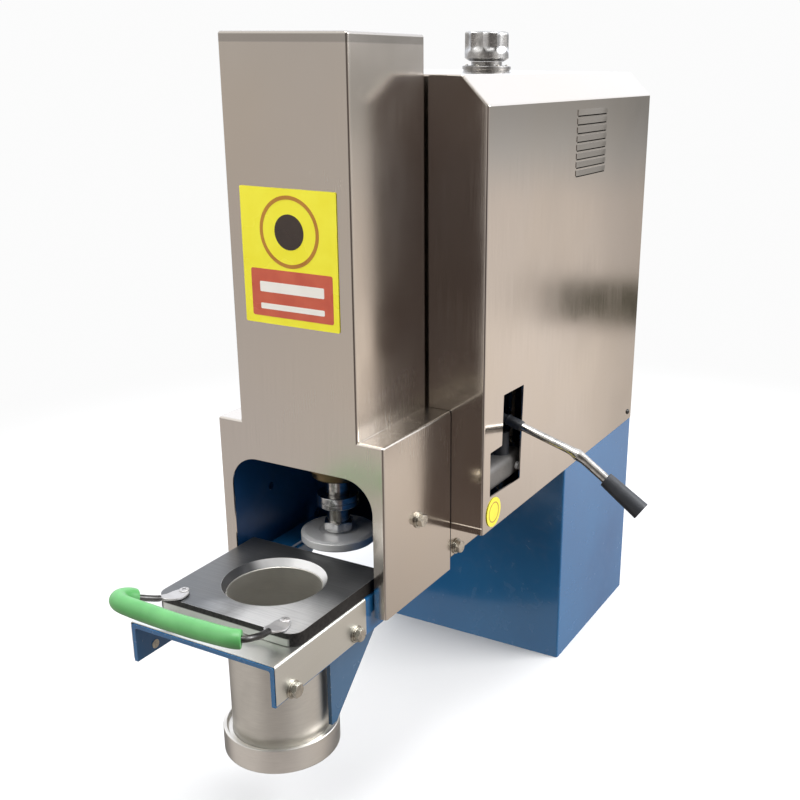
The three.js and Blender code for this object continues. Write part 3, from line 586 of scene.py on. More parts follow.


# where the tray's painted highlight is centred, in millimetres
HIGHLIGHT_SPOT = Vector((44, -96, 12))
STEEL_COLOR = (0.69, 0.645, 0.6)
# above this height the cover's colour is darker: a band across the top of the tower
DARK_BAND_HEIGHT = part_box("front_cover")[1].z - 0.0085
COVER_STEEL = sheet_steel("cover_stainless", STEEL_COLOR, darker_above=DARK_BAND_HEIGHT)
CASING_STEEL = sheet_steel("casing_stainless", STEEL_COLOR, rough=(0.09, 0.15), waves=0.15)
TABLE_STEEL = sheet_steel("table_stainless", (0.74, 0.75, 0.72), grain=(1, 0.012, 1), rough=(0.3, 0.42))
TUBE_STEEL = turned_steel("tube_stainless", (0.76, 0.74, 0.69), rough=(0.4, 0.5))
RING_STEEL = turned_steel("ring_stainless", (0.88, 0.85, 0.8), rough=(0.34, 0.45))
DARK_STEEL = turned_steel("dark_steel", (0.2, 0.2, 0.205), rough=(0.28, 0.42))
TRAY_STEEL = plate_steel()
BOLT_STEEL = plated_steel("bolt_zinc", (0.66, 0.63, 0.56))
NUT_STEEL = plated_steel("nut_steel", (0.68, 0.68, 0.68), rough=(0.12, 0.28))
MOUTH_PAINTED_LIGHT = mouth_painted_light()
EDGE_STEEL = plate_edge()
LUG_STEEL = turned_steel("lug_steel", (0.52, 0.51, 0.51), rough=(0.34, 0.42), metallic=0.7)
ROD_STEEL = plated_steel("handle_steel", (0.1, 0.098, 0.096), rough=(0.3, 0.45))
CHROME = plated_steel("chrome", (0.6, 0.58, 0.55), rough=(0.16, 0.26))
CAP_CHROME = plated_steel("cap_chrome", (0.56, 0.555, 0.55), rough=(0.24, 0.34))
FLANGE_STEEL = plated_steel("flange_steel", (0.38, 0.37, 0.36), rough=(0.24, 0.36))
BRONZE = turned_steel("gland_bronze", (0.2, 0.15, 0.08), rough=(0.26, 0.4))
DISC_STEEL = turned_steel("disc_steel", (0.8, 0.8, 0.8), rough=(0.3, 0.4), metallic=0.4)
# painted highlight: the valve's steel screw is white and not metal, so that it shows bright in the dark slot
WHITE_SCREW_HIGHLIGHT = turned_steel("screw_steel", (1, 1, 1), rough=(0.4, 0.5), metallic=0.0)
BLUE_PAINT = gloss_paint("blue_paint", (0.008, 0.1, 0.27), (0.014, 0.15, 0.36))
# the gussets' real blue paint, made greyer as a painted reflection of the steel round them
GUSSET_REFLECTION_BLUE = gloss_paint("gusset_blue_painted_reflection", (0.03, 0.095, 0.19), (0.04, 0.12, 0.23))
# painted shade: a darker, less glossy copy of the blue paint for the plates inside the housing
SHADED_INNER_BLUE = gloss_paint("inner_blue_painted_shade", (0.008, 0.06, 0.19), (0.012, 0.09, 0.25), (0.3, 0.4), 1.4, 0.0)
CAST_GREY = cast_paint()
BLACK = moulded_plastic("black_rubber", (0.016, 0.018, 0.022), (0.03, 0.034, 0.042))
GREEN_SWITCH = moulded_plastic("green_switch", (0.04, 0.34, 0.08), (0.06, 0.44, 0.12), (0.2, 0.32))
GREEN = soft_sleeve()
COPPER = wound_copper()
YELLOW = printed_film("yellow_film", (0.9, 0.82, 0.02), (0.94, 0.88, 0.04))
ORANGE = printed_film("orange_ink", (0.42, 0.17, 0.012), (0.5, 0.22, 0.02))
INK = printed_film("dark_ink", (0.022, 0.012, 0.008), (0.035, 0.02, 0.014))
RED = printed_film("red_ink", (0.54, 0.085, 0.045), (0.62, 0.12, 0.06))
PALE = printed_film("pale_ink", (0.86, 0.84, 0.78), (0.9, 0.88, 0.84))


# ---------------------------------------------------------------- fasteners
def hexagon(radius):
    return [(radius * math.cos(a), radius * math.sin(a)) for a in (math.pi * k / 3 for k in range(6))]


def hex_body(radius, low, high, bore=0.0):
    """A hexagon nut or bolt head along Z, its corners taken off by a cone."""
    body = prism("z", hexagon(radius), low, high)
    inside = radius * math.cos(math.pi / 6)
    wide, slope = radius * 1.02, (radius - inside) * 0.8
    cone = turned("z", (0, 0, 0), [
        (0, low - 1), (inside, low - 1), (inside * 1.01, low), (wide, low + slope),
        (wide, high - slope), (inside * 0.97, high), (inside * 0.9, high + 1), (0, high + 1),
    ], 48)
    body = combine("INTERSECT", body, [cone])
    return cut(body, rod("z", (0, 0, 0), bore, low - 2, high + 2, 40)) if bore else body


def washer(inner, outer, low, high):
    return turned("z", (0, 0, 0), rounded([
        (inner, low), (outer, low, 0.3), (outer, high, 0.3), (inner, high, 0.2),
    ], 2), 40)


def aim(direction, spot):
    """Moves a shape drawn along Z to a spot and a direction."""
    turn = Vector((0, 0, 1)).rotation_difference(Vector(direction)).to_matrix().to_4x4()
    return Matrix.Translation(Vector(spot)) @ turn


def hex_bolt(head=6.4, high=5.0, disc=8.0, spring=6.6, turn=12):
    """A hexagon bolt with a flat washer and a spring washer, seated at Z = 0."""
    parts = [
        washer(4.2, disc, 0.0, 1.5),
        washer(4.2, spring, 1.5, 2.6),
        moved(hex_body(head, 2.6, 2.0 + high), Matrix.Rotation(math.radians(turn), 4, "Z")),
        rod("z", (0, 0, 0), 4.1, -6, 2.6, 24),
    ]
    dimple = turned("z", (0, 0, 0), [(0, 1.6 + high), (2.6, 2.3 + high), (2.6, 4 + high), (0, 4 + high)], 24)
    parts[2] = cut(parts[2], dimple)
    return gather(parts)


def pan_screw(radius=3.4, high=2.2):
    """A small domed screw with a cross recess, seated at Z = 0."""
    dome = [(0, -1.0), (radius, -1.0), (radius, 0.4)]
    for k in range(1, 7):
        a = math.pi / 2 * k / 6
        dome.append((radius * math.cos(a) if k < 6 else 0, 0.4 + (high - 0.4) * math.sin(a)))
    head = turned("z", (0, 0, 0), dome, 32)
    long, narrow = span(radius * 0.62), span(0.42)
    for x, y in ((narrow, long), (long, narrow)):
        head = cut(head, block(x, y, (high - 1.1, high + 1)))
    return head


def socket_screw(radius=4.0, high=4.2):
    profile = [(0, -1), (radius, -1), (radius, high - 0.5), (radius - 0.5, high), (0, high)]
    body = turned("z", (0, 0, 0), profile, 36)
    return cut(body, prism("z", hexagon(radius * 0.56), high - 2.4, high + 1))


def scatter(name, maker, spots, finish, direction):
    """Several fixed screws of one kind as one piece."""
    shapes = [moved(maker(), aim(direction, spot)) for spot in spots]
    return place(name, gather(shapes), finish, slot="bright_steel", edge=0)


# ---------------------------------------------------------------- front cover
HOUSING_BOLT = (57.6, 53)
ARM_BOLT = (131, -4)


def opening_outline():
    half, top, radius = OPENING["half"], OPENING["top"], OPENING["radius"]
    low = COVER_LOW.z - 1
    return rounded([(-half, low), (-half, top, radius), (half, top, radius), (half, low)], 14)


def front_cover():
    """Tower and housing folded from sheet, with an arched opening in front of the ram."""
    tower, housing = TOWER["half"], COVER_HIGH.x
    top, low, depth = COVER_HIGH.z, COVER_LOW.z, COVER_HIGH.y
    outline = [
        (-housing, low), (housing, low), (housing, HOUSING_TOP), (tower, HOUSING_TOP),
        (tower, top), (-tower, top), (-tower, HOUSING_TOP), (-housing, HOUSING_TOP),
    ]

    def outer_fold(middle, line):
        front = middle.y < 0.01 and middle.z > low + 0.01
        shoulder = abs(line.y) > 0.999 and middle.z > low + 0.01 and abs(abs(middle.x) - tower) > 0.01
        crown = abs(line.y) > 0.999 and middle.z > top - 0.01
        inner_corner = abs(abs(middle.x) - tower) < 0.01 and abs(middle.z - HOUSING_TOP) < 0.01
        return (front or shoulder or crown) and not inner_corner

    shell = prism("y", outline, 0, depth, [(SHEET_FOLD, outer_fold)])
    inside = tower - SHEET
    return cut(
        shell,
        block(span(tower + 9), (TOWER["back"], depth + 2), (HOUSING_TOP, top + 3)),
        block(span(inside), (SHEET, TOWER["back"] - SHEET), (0, top - SHEET), [(1.1, along("z"))]),
        block(span(housing - SHEET), (SHEET, depth + 1), (low - 1, HOUSING_TOP - SHEET),
              [(1.1, along("z"))]),
        prism("y", opening_outline(), -1, SHEET + 1),
        block(span(WINDOW["half"]), (TOWER["back"] - 5, depth + 2), WINDOW["reach"]),
    )


def shoulder_welds():
    """Dressed weld beads where the housing's shoulders meet the tower."""
    beads = []
    for sign in SIDES.values():
        x = sign * (TOWER["half"] + 0.2)
        path = [Vector((x, y, HOUSING_TOP + 0.1)) for y in range(2, 116, 3)]
        beads.append(swept(path, lambda share: 0.75 + 0.18 * math.sin(share * 120), 10))
    return gather(beads)


place("cover_shell", front_cover(), COVER_STEEL, "front_cover")
place("shoulder_welds", shoulder_welds(), COVER_STEEL, slot="stainless", edge=0)


# ---------------------------------------------------------------- arm and frame plates
def arm_cover():
    half = ARM_HIGH.x
    outer = block(span(half), (ARM_LOW.y, ARM_HIGH.y), (ARM_LOW.z, ARM_HIGH.z), [
        (2.0, lambda middle, line: abs(line.y) > 0.999 and middle.z < ARM_LOW.z + 0.1)])
    inner = block(span(half - SHEET), (ARM_LOW.y - 1, ARM_HIGH.y + 1), (ARM_LOW.z + 1.2, ARM_HIGH.z + 1))
    return cut(outer, inner)


def redrawn(node):
    """A frame plate redrawn from its CAD solid, with ground edges."""
    source = frame["nodes"][node].data
    shape = bpy.data.objects.new("plate", source.copy())
    bpy.context.scene.collection.objects.link(shape)
    bm = bmesh.new()
    bm.from_mesh(shape.data)
    bmesh.ops.dissolve_limit(bm, angle_limit=0.01, verts=bm.verts, edges=bm.edges)
    bm.to_mesh(shape.data)
    bm.free()
    return moved(shape, TO_ROW.inverted())


place("arm_cover_shell", arm_cover(), COVER_STEEL, "arm_cover")
# the cheeks and head plate take the blue paint's painted-shade copy
for node in ("cheek_plate_left", "cheek_plate_right", "head_plate"):
    place(f"{node}_ground", redrawn(node), SHADED_INNER_BLUE, node, edge=0.6)
# the gussets take the greyer blue with the painted reflection
for node in ("gusset_left", "gusset_right"):
    place(f"{node}_ground", redrawn(node), GUSSET_REFLECTION_BLUE, node, edge=0.6)


def web_welds():
    """Fillet welds between the gussets and the table."""
    beads = []
    low, high = local("gusset_right")
    for sign in SIDES.values():
        for face in (low.x - 0.8, high.x + 0.8):
            path = [Vector((sign * face, low.y + 2 + 3 * k, -6.1)) for k in range(36)]
            beads.append(swept(path, lambda share: 1.5 + 0.22 * math.sin(share * 95), 10))
    return gather(beads)


place("web_welds", web_welds(), BLUE_PAINT, slot="blue_paint", edge=0)


# ---------------------------------------------------------------- table
TABLE_BOLTS = [(-121.6, -31), (-28.8, -27)]
SLOT_HALF = local("pressing_tube")[1].x + 3.3
TABLE_SKIN = 1.0


def slot_cutter():
    """The table's slot, in which the tube slides under the ram."""
    back = RAM_Y + SLOT_HALF
    arc = [(SLOT_HALF * math.cos(a), TUBE_Y + SLOT_HALF * math.sin(a))
           for a in (math.pi * (1 + k / 32) for k in range(33))]
    return prism("z", [(SLOT_HALF, back), (-SLOT_HALF, back), *arc], -20, 5)


def table_channel():
    low, high = local("table_channel")
    half, thick = TABLE_HIGH.x - TABLE_SKIN - 0.3, 4.0
    outer = block(span(half), (low.y, high.y), (low.z, high.z), [
        (3.0, folded_above(high.z - 0.1))])
    inner = block(span(half - thick), (low.y - 1, high.y + 1), (low.z - 1, high.z - thick), [
        (2.0, folded_above(high.z - thick - 0.1))])
    return cut(outer, inner, slot_cutter())


def table_cladding():
    half, skin = TABLE_HIGH.x, TABLE_SKIN
    outer = block(span(half), (TABLE_LOW.y, TABLE_HIGH.y), (TABLE_LOW.z, 0), [
        (2.2, folded_above(-0.1))])
    inner = block(span(half - skin), (TABLE_LOW.y - 1, TABLE_HIGH.y + 1), (TABLE_LOW.z - 1, -skin), [
        (1.2, folded_above(-skin - 0.1))])
    return cut(outer, inner, slot_cutter())


place("table_channel_folded", table_channel(), BLUE_PAINT, "table_channel", edge=0.4)
place("table_skin", table_cladding(), TABLE_STEEL, "table_cladding", edge=0.2)


# ---------------------------------------------------------------- bolts
def place_bolts():
    spots = {"housing_bolt": [(COVER_HIGH.x, *HOUSING_BOLT)], "arm_bolt": [(ARM_HIGH.x, *ARM_BOLT)]}
    for side, sign in SIDES.items():
        for name, (spot,) in spots.items():
            bolt = moved(hex_bolt(), aim((sign, 0, 0), (sign * spot[0], *spot[1:])))
            place(f"{name}_{side}_turned", bolt, BOLT_STEEL, f"{name}_{side}", edge=0.15)
        for end, (y, z) in zip(("front", "rear"), TABLE_BOLTS):
            bolt = moved(hex_bolt(turn=23), aim((sign, 0, 0), (sign * TABLE_HIGH.x, y, z)))
            place(f"table_bolt_{side}_{end}_turned", bolt, BOLT_STEEL, f"table_bolt_{side}_{end}", edge=0.15)


place_bolts()


# ---------------------------------------------------------------- tray, tube and die ring
TUBE_RADIUS = local("pressing_tube")[1].x
SEAT = local("pressing_tube")[1].z + 0.1
THROAT, MOUTH = 43.2, 46.8
LUG = (54.4, -99)


def tray_plate():
    half, front, back = TRAY_HIGH.x, TRAY_LOW.y, TRAY_HIGH.y
    outline = rounded([(half, back, 1.2), (-half, back, 1.2), (-half, front, 12), (half, front, 12)], 8)
    whole = prism("z", outline, TRAY_LOW.z, TRAY_HIGH.z)
    return cut(
        whole,
        rod("z", (0, TUBE_Y, 0), TUBE_RADIUS + 0.3, -1, SEAT, 96),
        turned("z", (0, TUBE_Y, 0), [
            (0, SEAT - 1), (THROAT, SEAT - 1), (THROAT, SEAT), (MOUTH, TRAY_HIGH.z),
            (MOUTH, TRAY_HIGH.z + 1), (0, TRAY_HIGH.z + 1)], 96),
        *[rod("z", (sign * LUG[0], LUG[1], 0), 2.9, 4, TRAY_HIGH.z + 1, 24) for sign in SIDES.values()],
    )


def tube():
    low, high = local("pressing_tube")
    outer = high.x
    inner = outer - 3
    return turned("z", (0, TUBE_Y, 0), rounded([
        (inner, low.z, 0.4), (outer, low.z, 0.4), (outer, high.z, 0.5), (inner, high.z, 0.8),
    ], 3), 96)


def die_ring():
    low, high = local("die_ring")
    radius, bore = high.x, 40
    inner = local("pressing_tube")[1].x + 0.3
    return turned("z", (0, TUBE_Y, 0), rounded([
        (bore, low.z, 0.6), (radius, low.z, 1.6), (radius, high.z, 1.0), (radius - 3.2, high.z, 0.5),
        (radius - 4.7, high.z - 4, 0.4), (inner, high.z - 4), (inner, low.z + 6), (bore, low.z + 6, 0.4),
    ], 4), 120)


def die_plate():
    low, high = local("die_plate")
    disc = rod("z", (0, TUBE_Y, 0), high.x, low.z, high.z, 96)
    holes = []
    for ring, count in ((0, 1), (15, 6), (30, 12)):
        for k in range(count):
            a = 2 * math.pi * k / count
            spot = (ring * math.cos(a), TUBE_Y + ring * math.sin(a), 0)
            holes.append(rod("z", spot, 3.5, low.z - 1, high.z + 1, 20))
    return cut(disc, gather(holes))


def finish_mouth_and_edges(tray):
    """The funnel in the tray is machined steel with painted light, a painted highlight at its rear and
    painted shade at its front, and the plate's outer edges are black.
    """
    tray.data.materials.append(MOUTH_PAINTED_LIGHT)
    tray.data.materials.append(EDGE_STEEL)
    centre = TO_ROW @ Vector((0, TUBE_Y, TRAY_HIGH.z))
    for face in tray.data.polygons:
        inside = (face.center - centre).xy.length < (MOUTH + 0.5) * MM
        if abs(face.normal.z) < 0.9:
            face.material_index = 1 if inside else 2


finish_mouth_and_edges(place("tray_plate_ground", tray_plate(), TRAY_STEEL, "tray_plate", edge=0.5))
place("pressing_tube_turned", tube(), TUBE_STEEL, "pressing_tube", edge=0)
place("die_ring_turned", die_ring(), RING_STEEL, "die_ring", edge=0)
place("die_plate_drilled", die_plate(), NUT_STEEL, "die_plate", edge=0.2)


# ---------------------------------------------------------------- tray handle
HANDLE_HALF = [
    (LUG[0], LUG[1] - 4, 15.8), (57.7, -124.8, 18.4), (67.6, -152.9, 30.1), (59.1, -166, 32.9),
    (25, -166.1, 30.9),
]
HANDLE_MIDDLE = (0, -166.7, 30.9)
HANDLE_PATH = through([(-x, y, z) for x, y, z in HANDLE_HALF] + [HANDLE_MIDDLE] + HANDLE_HALF[::-1], 12)
SLEEVE = {"radius": 8, "start": 0.162, "end": 0.745}


def part_of(path, start, end):
    lengths = [0.0]
    for a, b in zip(path, path[1:]):
        lengths.append(lengths[-1] + (b - a).length)
    return [spot for spot, reach in zip(path, lengths) if start <= reach / lengths[-1] <= end]


def handle_lug(sign):
    """The hammered flat end of the handle's rod: a long oval that rises in front of the tray."""
    low, high = TRAY_HIGH.z + 0.2, TRAY_HIGH.z + 3.0
    stations, shape = 24, bmesh.new()
    rings = []
    for k in range(stations + 1):
        a = math.pi * k / stations
        y = LUG[1] - 11.5 - 14.5 * math.cos(a)
        half = 0.3 + 8.0 * math.sin(a) ** 0.8
        lean = sign * (0.08 * max(0, LUG[1] - y))
        rise = max(0, TRAY_LOW.y + 3 - y) * 0.28
        middle = sign * LUG[0] + lean
        rings.append([shape.verts.new((middle + x * half, y, z + rise))
                      for x, z in ((-1, low + 0.6), (-0.75, low), (0.75, low), (1, low + 0.6),
                                   (1, high - 0.8), (0.7, high), (-0.7, high), (-1, high - 0.8))])
    for one, two in zip(rings, rings[1:]):
        for k in range(8):
            shape.faces.new((one[k], one[(k + 1) % 8], two[(k + 1) % 8], two[k]))
    shape.faces.new(rings[0])
    shape.faces.new(rings[-1])
    return solid(shape)


def handle_grip():
    path = part_of(HANDLE_PATH, SLEEVE["start"], SLEEVE["end"])

    def size(share):
        end = min(share, 1 - share)
        return SLEEVE["radius"] - 0.5 * math.exp(-end * 80) + 0.15 * math.sin(share * 19)
    return swept(path, size, 40, bore=3.2)


def handle_screw(sign):
    spot = (sign * LUG[0], LUG[1], TRAY_HIGH.z + 3.0)
    head = moved(pan_screw(4.4, 1.3), aim((0, 0, 1), spot))
    return gather([head, rod("z", (spot[0], spot[1], 0), 2.5, 7, spot[2], 20)])


handle_rod = swept(part_of(HANDLE_PATH, 0.08, 0.92), lambda share: 2.8, 18)
place("handle_rod_bent", handle_rod, ROD_STEEL, "handle_rod", edge=0)
place("handle_grip_sleeve", handle_grip(), GREEN, "handle_grip", edge=0.5, crease=50)
for side, sign in SIDES.items():
    place(f"handle_lug_{side}", handle_lug(sign), LUG_STEEL,
          body=BODY["handle_rod"], slot=SLOT["handle_rod"], edge=0.4)
    place(f"handle_screw_{side}_cross", handle_screw(sign), LUG_STEEL, f"handle_screw_{side}", edge=0.1)


# ---------------------------------------------------------------- ram
AXIS = (0, RAM_Y, 0)


def along_axis(node):
    low, high = local(node)
    return low.z, high.z


def ram_pieces():
    low, high = along_axis("ram_rod")
    bar = turned("z", AXIS, [
        (0, low), (10.4, low), (11, low + 0.8), (11, high - 1), (10, high), (0, high)], 64)
    place("ram_rod_polished", bar, CHROME, "ram_rod", edge=0)
    low, high = along_axis("ram_collar")
    place("ram_collar_turned", turned("z", AXIS, rounded([
        (11.3, low), (20, low, 1.0), (20, low + 5, 0.3), (19, low + 5.6, 0.3), (20, low + 6.4, 0.3),
        (20, high, 1.0), (11.3, high, 0.5)], 3), 72), NUT_STEEL, "ram_collar", edge=0)
    low, high = along_axis("ram_nut")
    nut = moved(hex_body(15, low, high, 11.3), Matrix.Translation(AXIS))
    place("ram_nut_hex", nut, NUT_STEEL, "ram_nut", edge=0.15)
    low, high = along_axis("ram_disc")
    radius = local("ram_disc")[1].x
    place("ram_disc_turned", turned("z", AXIS, rounded([
        (0, low), (radius, low, 1.6), (radius, high - 1.5, 0.8), (radius - 4, high, 0.8),
        (19, high, 0.4), (18, high - 0.6), (0, high - 0.6)], 3, False), 96), DISC_STEEL, "ram_disc", edge=0)


def gland():
    low, high = along_axis("cylinder_gland")
    return turned("z", AXIS, rounded([
        (11.3, low, 0.8), (22, low, 0.8), (24, low + 2, 0.5), (24, low + 10, 0.5), (29.4, low + 10, 0.5),
        (29.4, 125.6), (34.6, 125.6), (34.6, high, 0.5), (11.3, high, 0.5),
    ], 3), 72)


def cylinder():
    low, high = along_axis("cylinder_barrel")
    barrel = turned("z", AXIS, rounded([
        (35, low, 0.4), (54, low, 1.0), (54, low + 12, 1.0), (42, low + 12, 2.0), (42, high, 0.8),
        (35, high, 0.4),
    ], 3), 72)
    bolts = []
    for k in range(4):
        a = math.pi / 4 + k * math.pi / 2
        spot = (AXIS[0] + 48 * math.cos(a), AXIS[1] + 48 * math.sin(a), low + 12)
        bolts.append(moved(hex_bolt(5.6, 4.4, 6.4, 5.8), aim((0, 0, 1), spot)))
    boss = rod("y", (15, 0, 165), 8, RAM_Y + 34, 102, 32, 0.6)
    return gather([barrel, boss, *bolts])


def cylinder_cap():
    low, high = along_axis("cylinder_cap")
    cap = turned("z", AXIS, rounded([
        (0, low), (34.6, low, 0.5), (34.6, 400.3), (42, 400.3, 0.5), (42, high, 2.0), (0, high),
    ], 3, False), 72)
    boss = rod("y", (-15, 0, 412), 8, RAM_Y + 34, 102, 32, 0.6)
    return gather([cap, boss])


ram_pieces()
place("cylinder_gland_turned", gland(), BRONZE, "cylinder_gland", edge=0)
place("cylinder_barrel_honed", cylinder(), DARK_STEEL, "cylinder_barrel", edge=0)
place("cylinder_cap_turned", cylinder_cap(), DARK_STEEL, "cylinder_cap", edge=0)


# ---------------------------------------------------------------- rear casing
LEVER_SLOT = [(161, 151), (159, 100), (134, 100), (134, 54), (202, 51), (206, 150)]
BACK_VENT = {"bottom": 120, "pitch": 24, "high": 6, "count": 8, "across": (-55, 55)}
BASE_VENT = {"bottom": -100, "pitch": 18, "high": 6, "count": 5, "across": (-10, 100)}
INLET = (-80, -185)
SIDE_VENT = {"front": 320, "back": 400, "bottom": 343, "pitch": 8.6, "high": 3, "count": 8}
BREATHER = (*middle_of("breather_cap")[:2], 0)


def casing_outline(margin, bottom, fold):
    half, top = CASING_HIGH.x - margin, CASING_HIGH.z - margin
    bevel = margin * 0.42
    wide, high = CASING_CUT["wide"] - bevel, CASING_CUT["high"] - bevel
    right = [(half, bottom), (half, top - high, fold), (half - wide, top, fold)]
    return rounded([*right, *[(-u, *rest) for u, *rest in right[::-1]]], 5)


def rear_casing():
    front, back, bottom = CASING_LOW.y, CASING_HIGH.y, CASING_LOW.z
    half = CASING_HIGH.x
    outer = prism("y", casing_outline(0, bottom, 3.0), front, back, [
        (2.2, lambda middle, line: middle.y < front + 0.01 and middle.z > bottom + 0.01)])
    inner = prism("y", casing_outline(SHEET, bottom + SHEET, 1.5), front + SHEET, back + 1)
    passage = span(89.2)
    vents = []
    for sign in SIDES.values():
        for k in range(SIDE_VENT["count"]):
            low = SIDE_VENT["bottom"] + k * SIDE_VENT["pitch"]
            vents.append(block(sided(sign, half - 4, half + 4), (SIDE_VENT["front"], SIDE_VENT["back"]),
                               (low, low + SIDE_VENT["high"])))
    return cut(
        outer, inner,
        block(span(half - SHEET), (BASE_LOW.y - 1, back + 1), (bottom - 1, bottom + 5)),
        block(passage, (front - 1, BASE_LOW.y), (bottom - 1, bottom + 2)),
        block(passage, (front - 1, front + 3), (bottom - 1, HOUSING_TOP - 2)),
        block(span(WINDOW["half"]), (front - 1, front + 3), WINDOW["reach"]),
        prism("x", rounded([(y, z, 0.8) for y, z in LEVER_SLOT], 3), half - 5, half + 5),
        rod("z", BREATHER, 17.5, CASING_HIGH.z - 5, CASING_HIGH.z + 5, 48),
        gather(vents),
    )


def louvre(length, opening, depth):
    """A pressed hood over a slot: drawn along X, its lip at Z = 0, bulging towards +Y."""
    thick, steps = 0.7, 14
    bm = bmesh.new()
    grid = []
    for i in range(steps + 1):
        u = i / steps
        swell = (1 - abs(2 * u - 1) ** 4) ** 0.5
        column = []
        for k in range(7):
            v = k / 6
            out = depth * swell * (1 - v)
            drop = opening * (0.25 + v * 1.05)
            column.append((Vector(((u - 0.5) * (length + 2), out, drop)), Vector((0, thick, 0))))
        grid.append(column)
    layers = [
        [[bm.verts.new(spot - lift * side) for spot, lift in column] for column in grid]
        for side in (0, 1)
    ]
    for layer in layers:
        for one, two in zip(layer, layer[1:]):
            for k in range(6):
                bm.faces.new((one[k], one[k + 1], two[k + 1], two[k]))
    outer, inner = layers
    for i in range(steps):
        for k in (0, 6):
            bm.faces.new((outer[i][k], outer[i + 1][k], inner[i + 1][k], inner[i][k]))
    for i in (0, steps):
        for k in range(6):
            bm.faces.new((outer[i][k], outer[i][k + 1], inner[i][k + 1], inner[i][k]))
    return solid(bm)


def side_louvres(sign):
    hoods = []
    centre = (SIDE_VENT["front"] + SIDE_VENT["back"]) / 2
    for k in range(SIDE_VENT["count"]):
        hood = louvre(SIDE_VENT["back"] - SIDE_VENT["front"], 5.4, 0.75)
        turn = Matrix.Rotation(-sign * math.pi / 2, 4, "Z")
        spot = (sign * (CASING_HIGH.x + 0.5), centre, SIDE_VENT["bottom"] + k * SIDE_VENT["pitch"])
        hoods.append(moved(hood, Matrix.Translation(spot) @ turn))
    return gather(hoods)


def casing_hem():
    """The folded lip along the lower edge of the casing's front face, beside the housing."""
    lips = []
    front, bottom = CASING_LOW.y, CASING_LOW.z
    for sign in SIDES.values():
        x = sided(sign, COVER_HIGH.x + 1.2, CASING_HIGH.x - 1.4)
        lips.append(prism("x", rounded([
            (front + 0.4, bottom + 0.2), (front - 1.3, bottom + 0.2, 0.6),
            (front - 1.0, bottom + 6.6, 0.5), (front + 0.4, bottom + 7.6),
        ], 3), *x))
    return gather(lips)


place("casing_shell", rear_casing(), CASING_STEEL, "rear_casing")
for side, sign in SIDES.items():
    place(f"side_louvres_{side}", side_louvres(sign), CASING_STEEL, slot="stainless", edge=0)
place("casing_hem", casing_hem(), CASING_STEEL, slot="stainless", edge=0.15)


def vent_slots(vent, front, back):
    """The row of slots of a vent in a wall at the back, as one cutter."""
    slots = []
    for k in range(vent["count"]):
        low = vent["bottom"] + k * vent["pitch"]
        slots.append(block(vent["across"], (front, back), (low, low + vent["high"])))
    return gather(slots)


def back_panel():
    back, bottom = CASING_HIGH.y, CASING_LOW.z
    sheet = prism("y", casing_outline(SHEET + 0.3, bottom + 2, 2.0), back - SHEET, back)
    return cut(sheet, vent_slots(BACK_VENT, back - 5, back + 5))


def wall_louvres(vent):
    """The hoods over a vent's slots."""
    left, right = vent["across"]
    hoods = []
    for k in range(vent["count"]):
        spot = ((left + right) / 2, CASING_HIGH.y + 0.45, vent["bottom"] + k * vent["pitch"])
        hoods.append(moved(louvre(right - left, 6.4, 2.4), Matrix.Translation(spot)))
    return gather(hoods)


place("back_panel_sheet", back_panel(), CASING_STEEL, "back_panel")
place("back_louvres", wall_louvres(BACK_VENT), CASING_STEEL, slot="stainless", edge=0)
back_spots = [(x, CASING_HIGH.y, z) for x in (-112, 112) for z in (40, 150, 270, 400)]
scatter("back_panel_screws", pan_screw, back_spots, BOLT_STEEL, (0, 1, 0))
for side, sign in SIDES.items():
    edge_spot = (sign * CASING_HIGH.x, 527, 30)
    scatter(f"casing_screw_{side}", lambda: pan_screw(3.4, 2.2), [edge_spot], ROD_STEEL, (sign, 0, 0))


# ---------------------------------------------------------------- base
def base_shell():
    half, front, back = BASE_HIGH.x, BASE_LOW.y, BASE_HIGH.y
    bottom, top, wall = BASE_LOW.z, BASE_HIGH.z, 3
    outer = block(span(half), (front, back), (bottom, top), [(2.4, along("z"))])
    return cut(
        outer,
        block(span(half - wall), (front + wall, back - wall), (bottom - 1, top - 6)),
        block(span(76), (front + 22, back - 25), (top - 10, top + 1)),
        vent_slots(BASE_VENT, back - 10, back + 1),
        rod("y", (INLET[0], 0, INLET[1]), 8.3, back - 10, back + 1, 32),
    )


place("base_shell_welded", base_shell(), BLUE_PAINT, "base_shell", edge=0.4)
place("base_louvres", wall_louvres(BASE_VENT), BLUE_PAINT, slot="blue_paint", edge=0)
low, high = local("base_plate")
place("base_plate_slab", block((low.x, high.x), (low.y, high.y), (low.z, high.z), [(1.2, along("z"))]),
      DARK_STEEL, "base_plate", edge=0.6)


def cable_gland():
    spot = (INLET[0], BASE_HIGH.y, INLET[1])
    ring = turned("y", spot, rounded([
        (3.6, -8), (8, -8, 0.5), (8, 0.3), (9.6, 0.3), (9.6, 8, 0.5), (8.6, 15, 1.0), (6, 19, 0.8),
        (3.6, 19, 0.4)], 3), 48)
    nut = moved(hex_body(12, 0.3, 6.4, 9.4), aim((0, 1, 0), spot))
    return gather([ring, nut])


place("cable_gland_moulded", cable_gland(), BLACK, "cable_gland", edge=0)


# ---------------------------------------------------------------- breather
def fluted(turn, radius, reach):
    """Finger scoops round the upper part of the cap."""
    low = along_axis("breather_cap")[0]
    upper = min(1.0, max(0.0, (reach - low - 10) / 4))
    across = turn * 10 / (2 * math.pi) % 1
    scoop = 1 - (2 * across - 1) ** 2
    return radius - (2.8 * scoop * upper if radius > 17 and reach > low + 9 else 0)


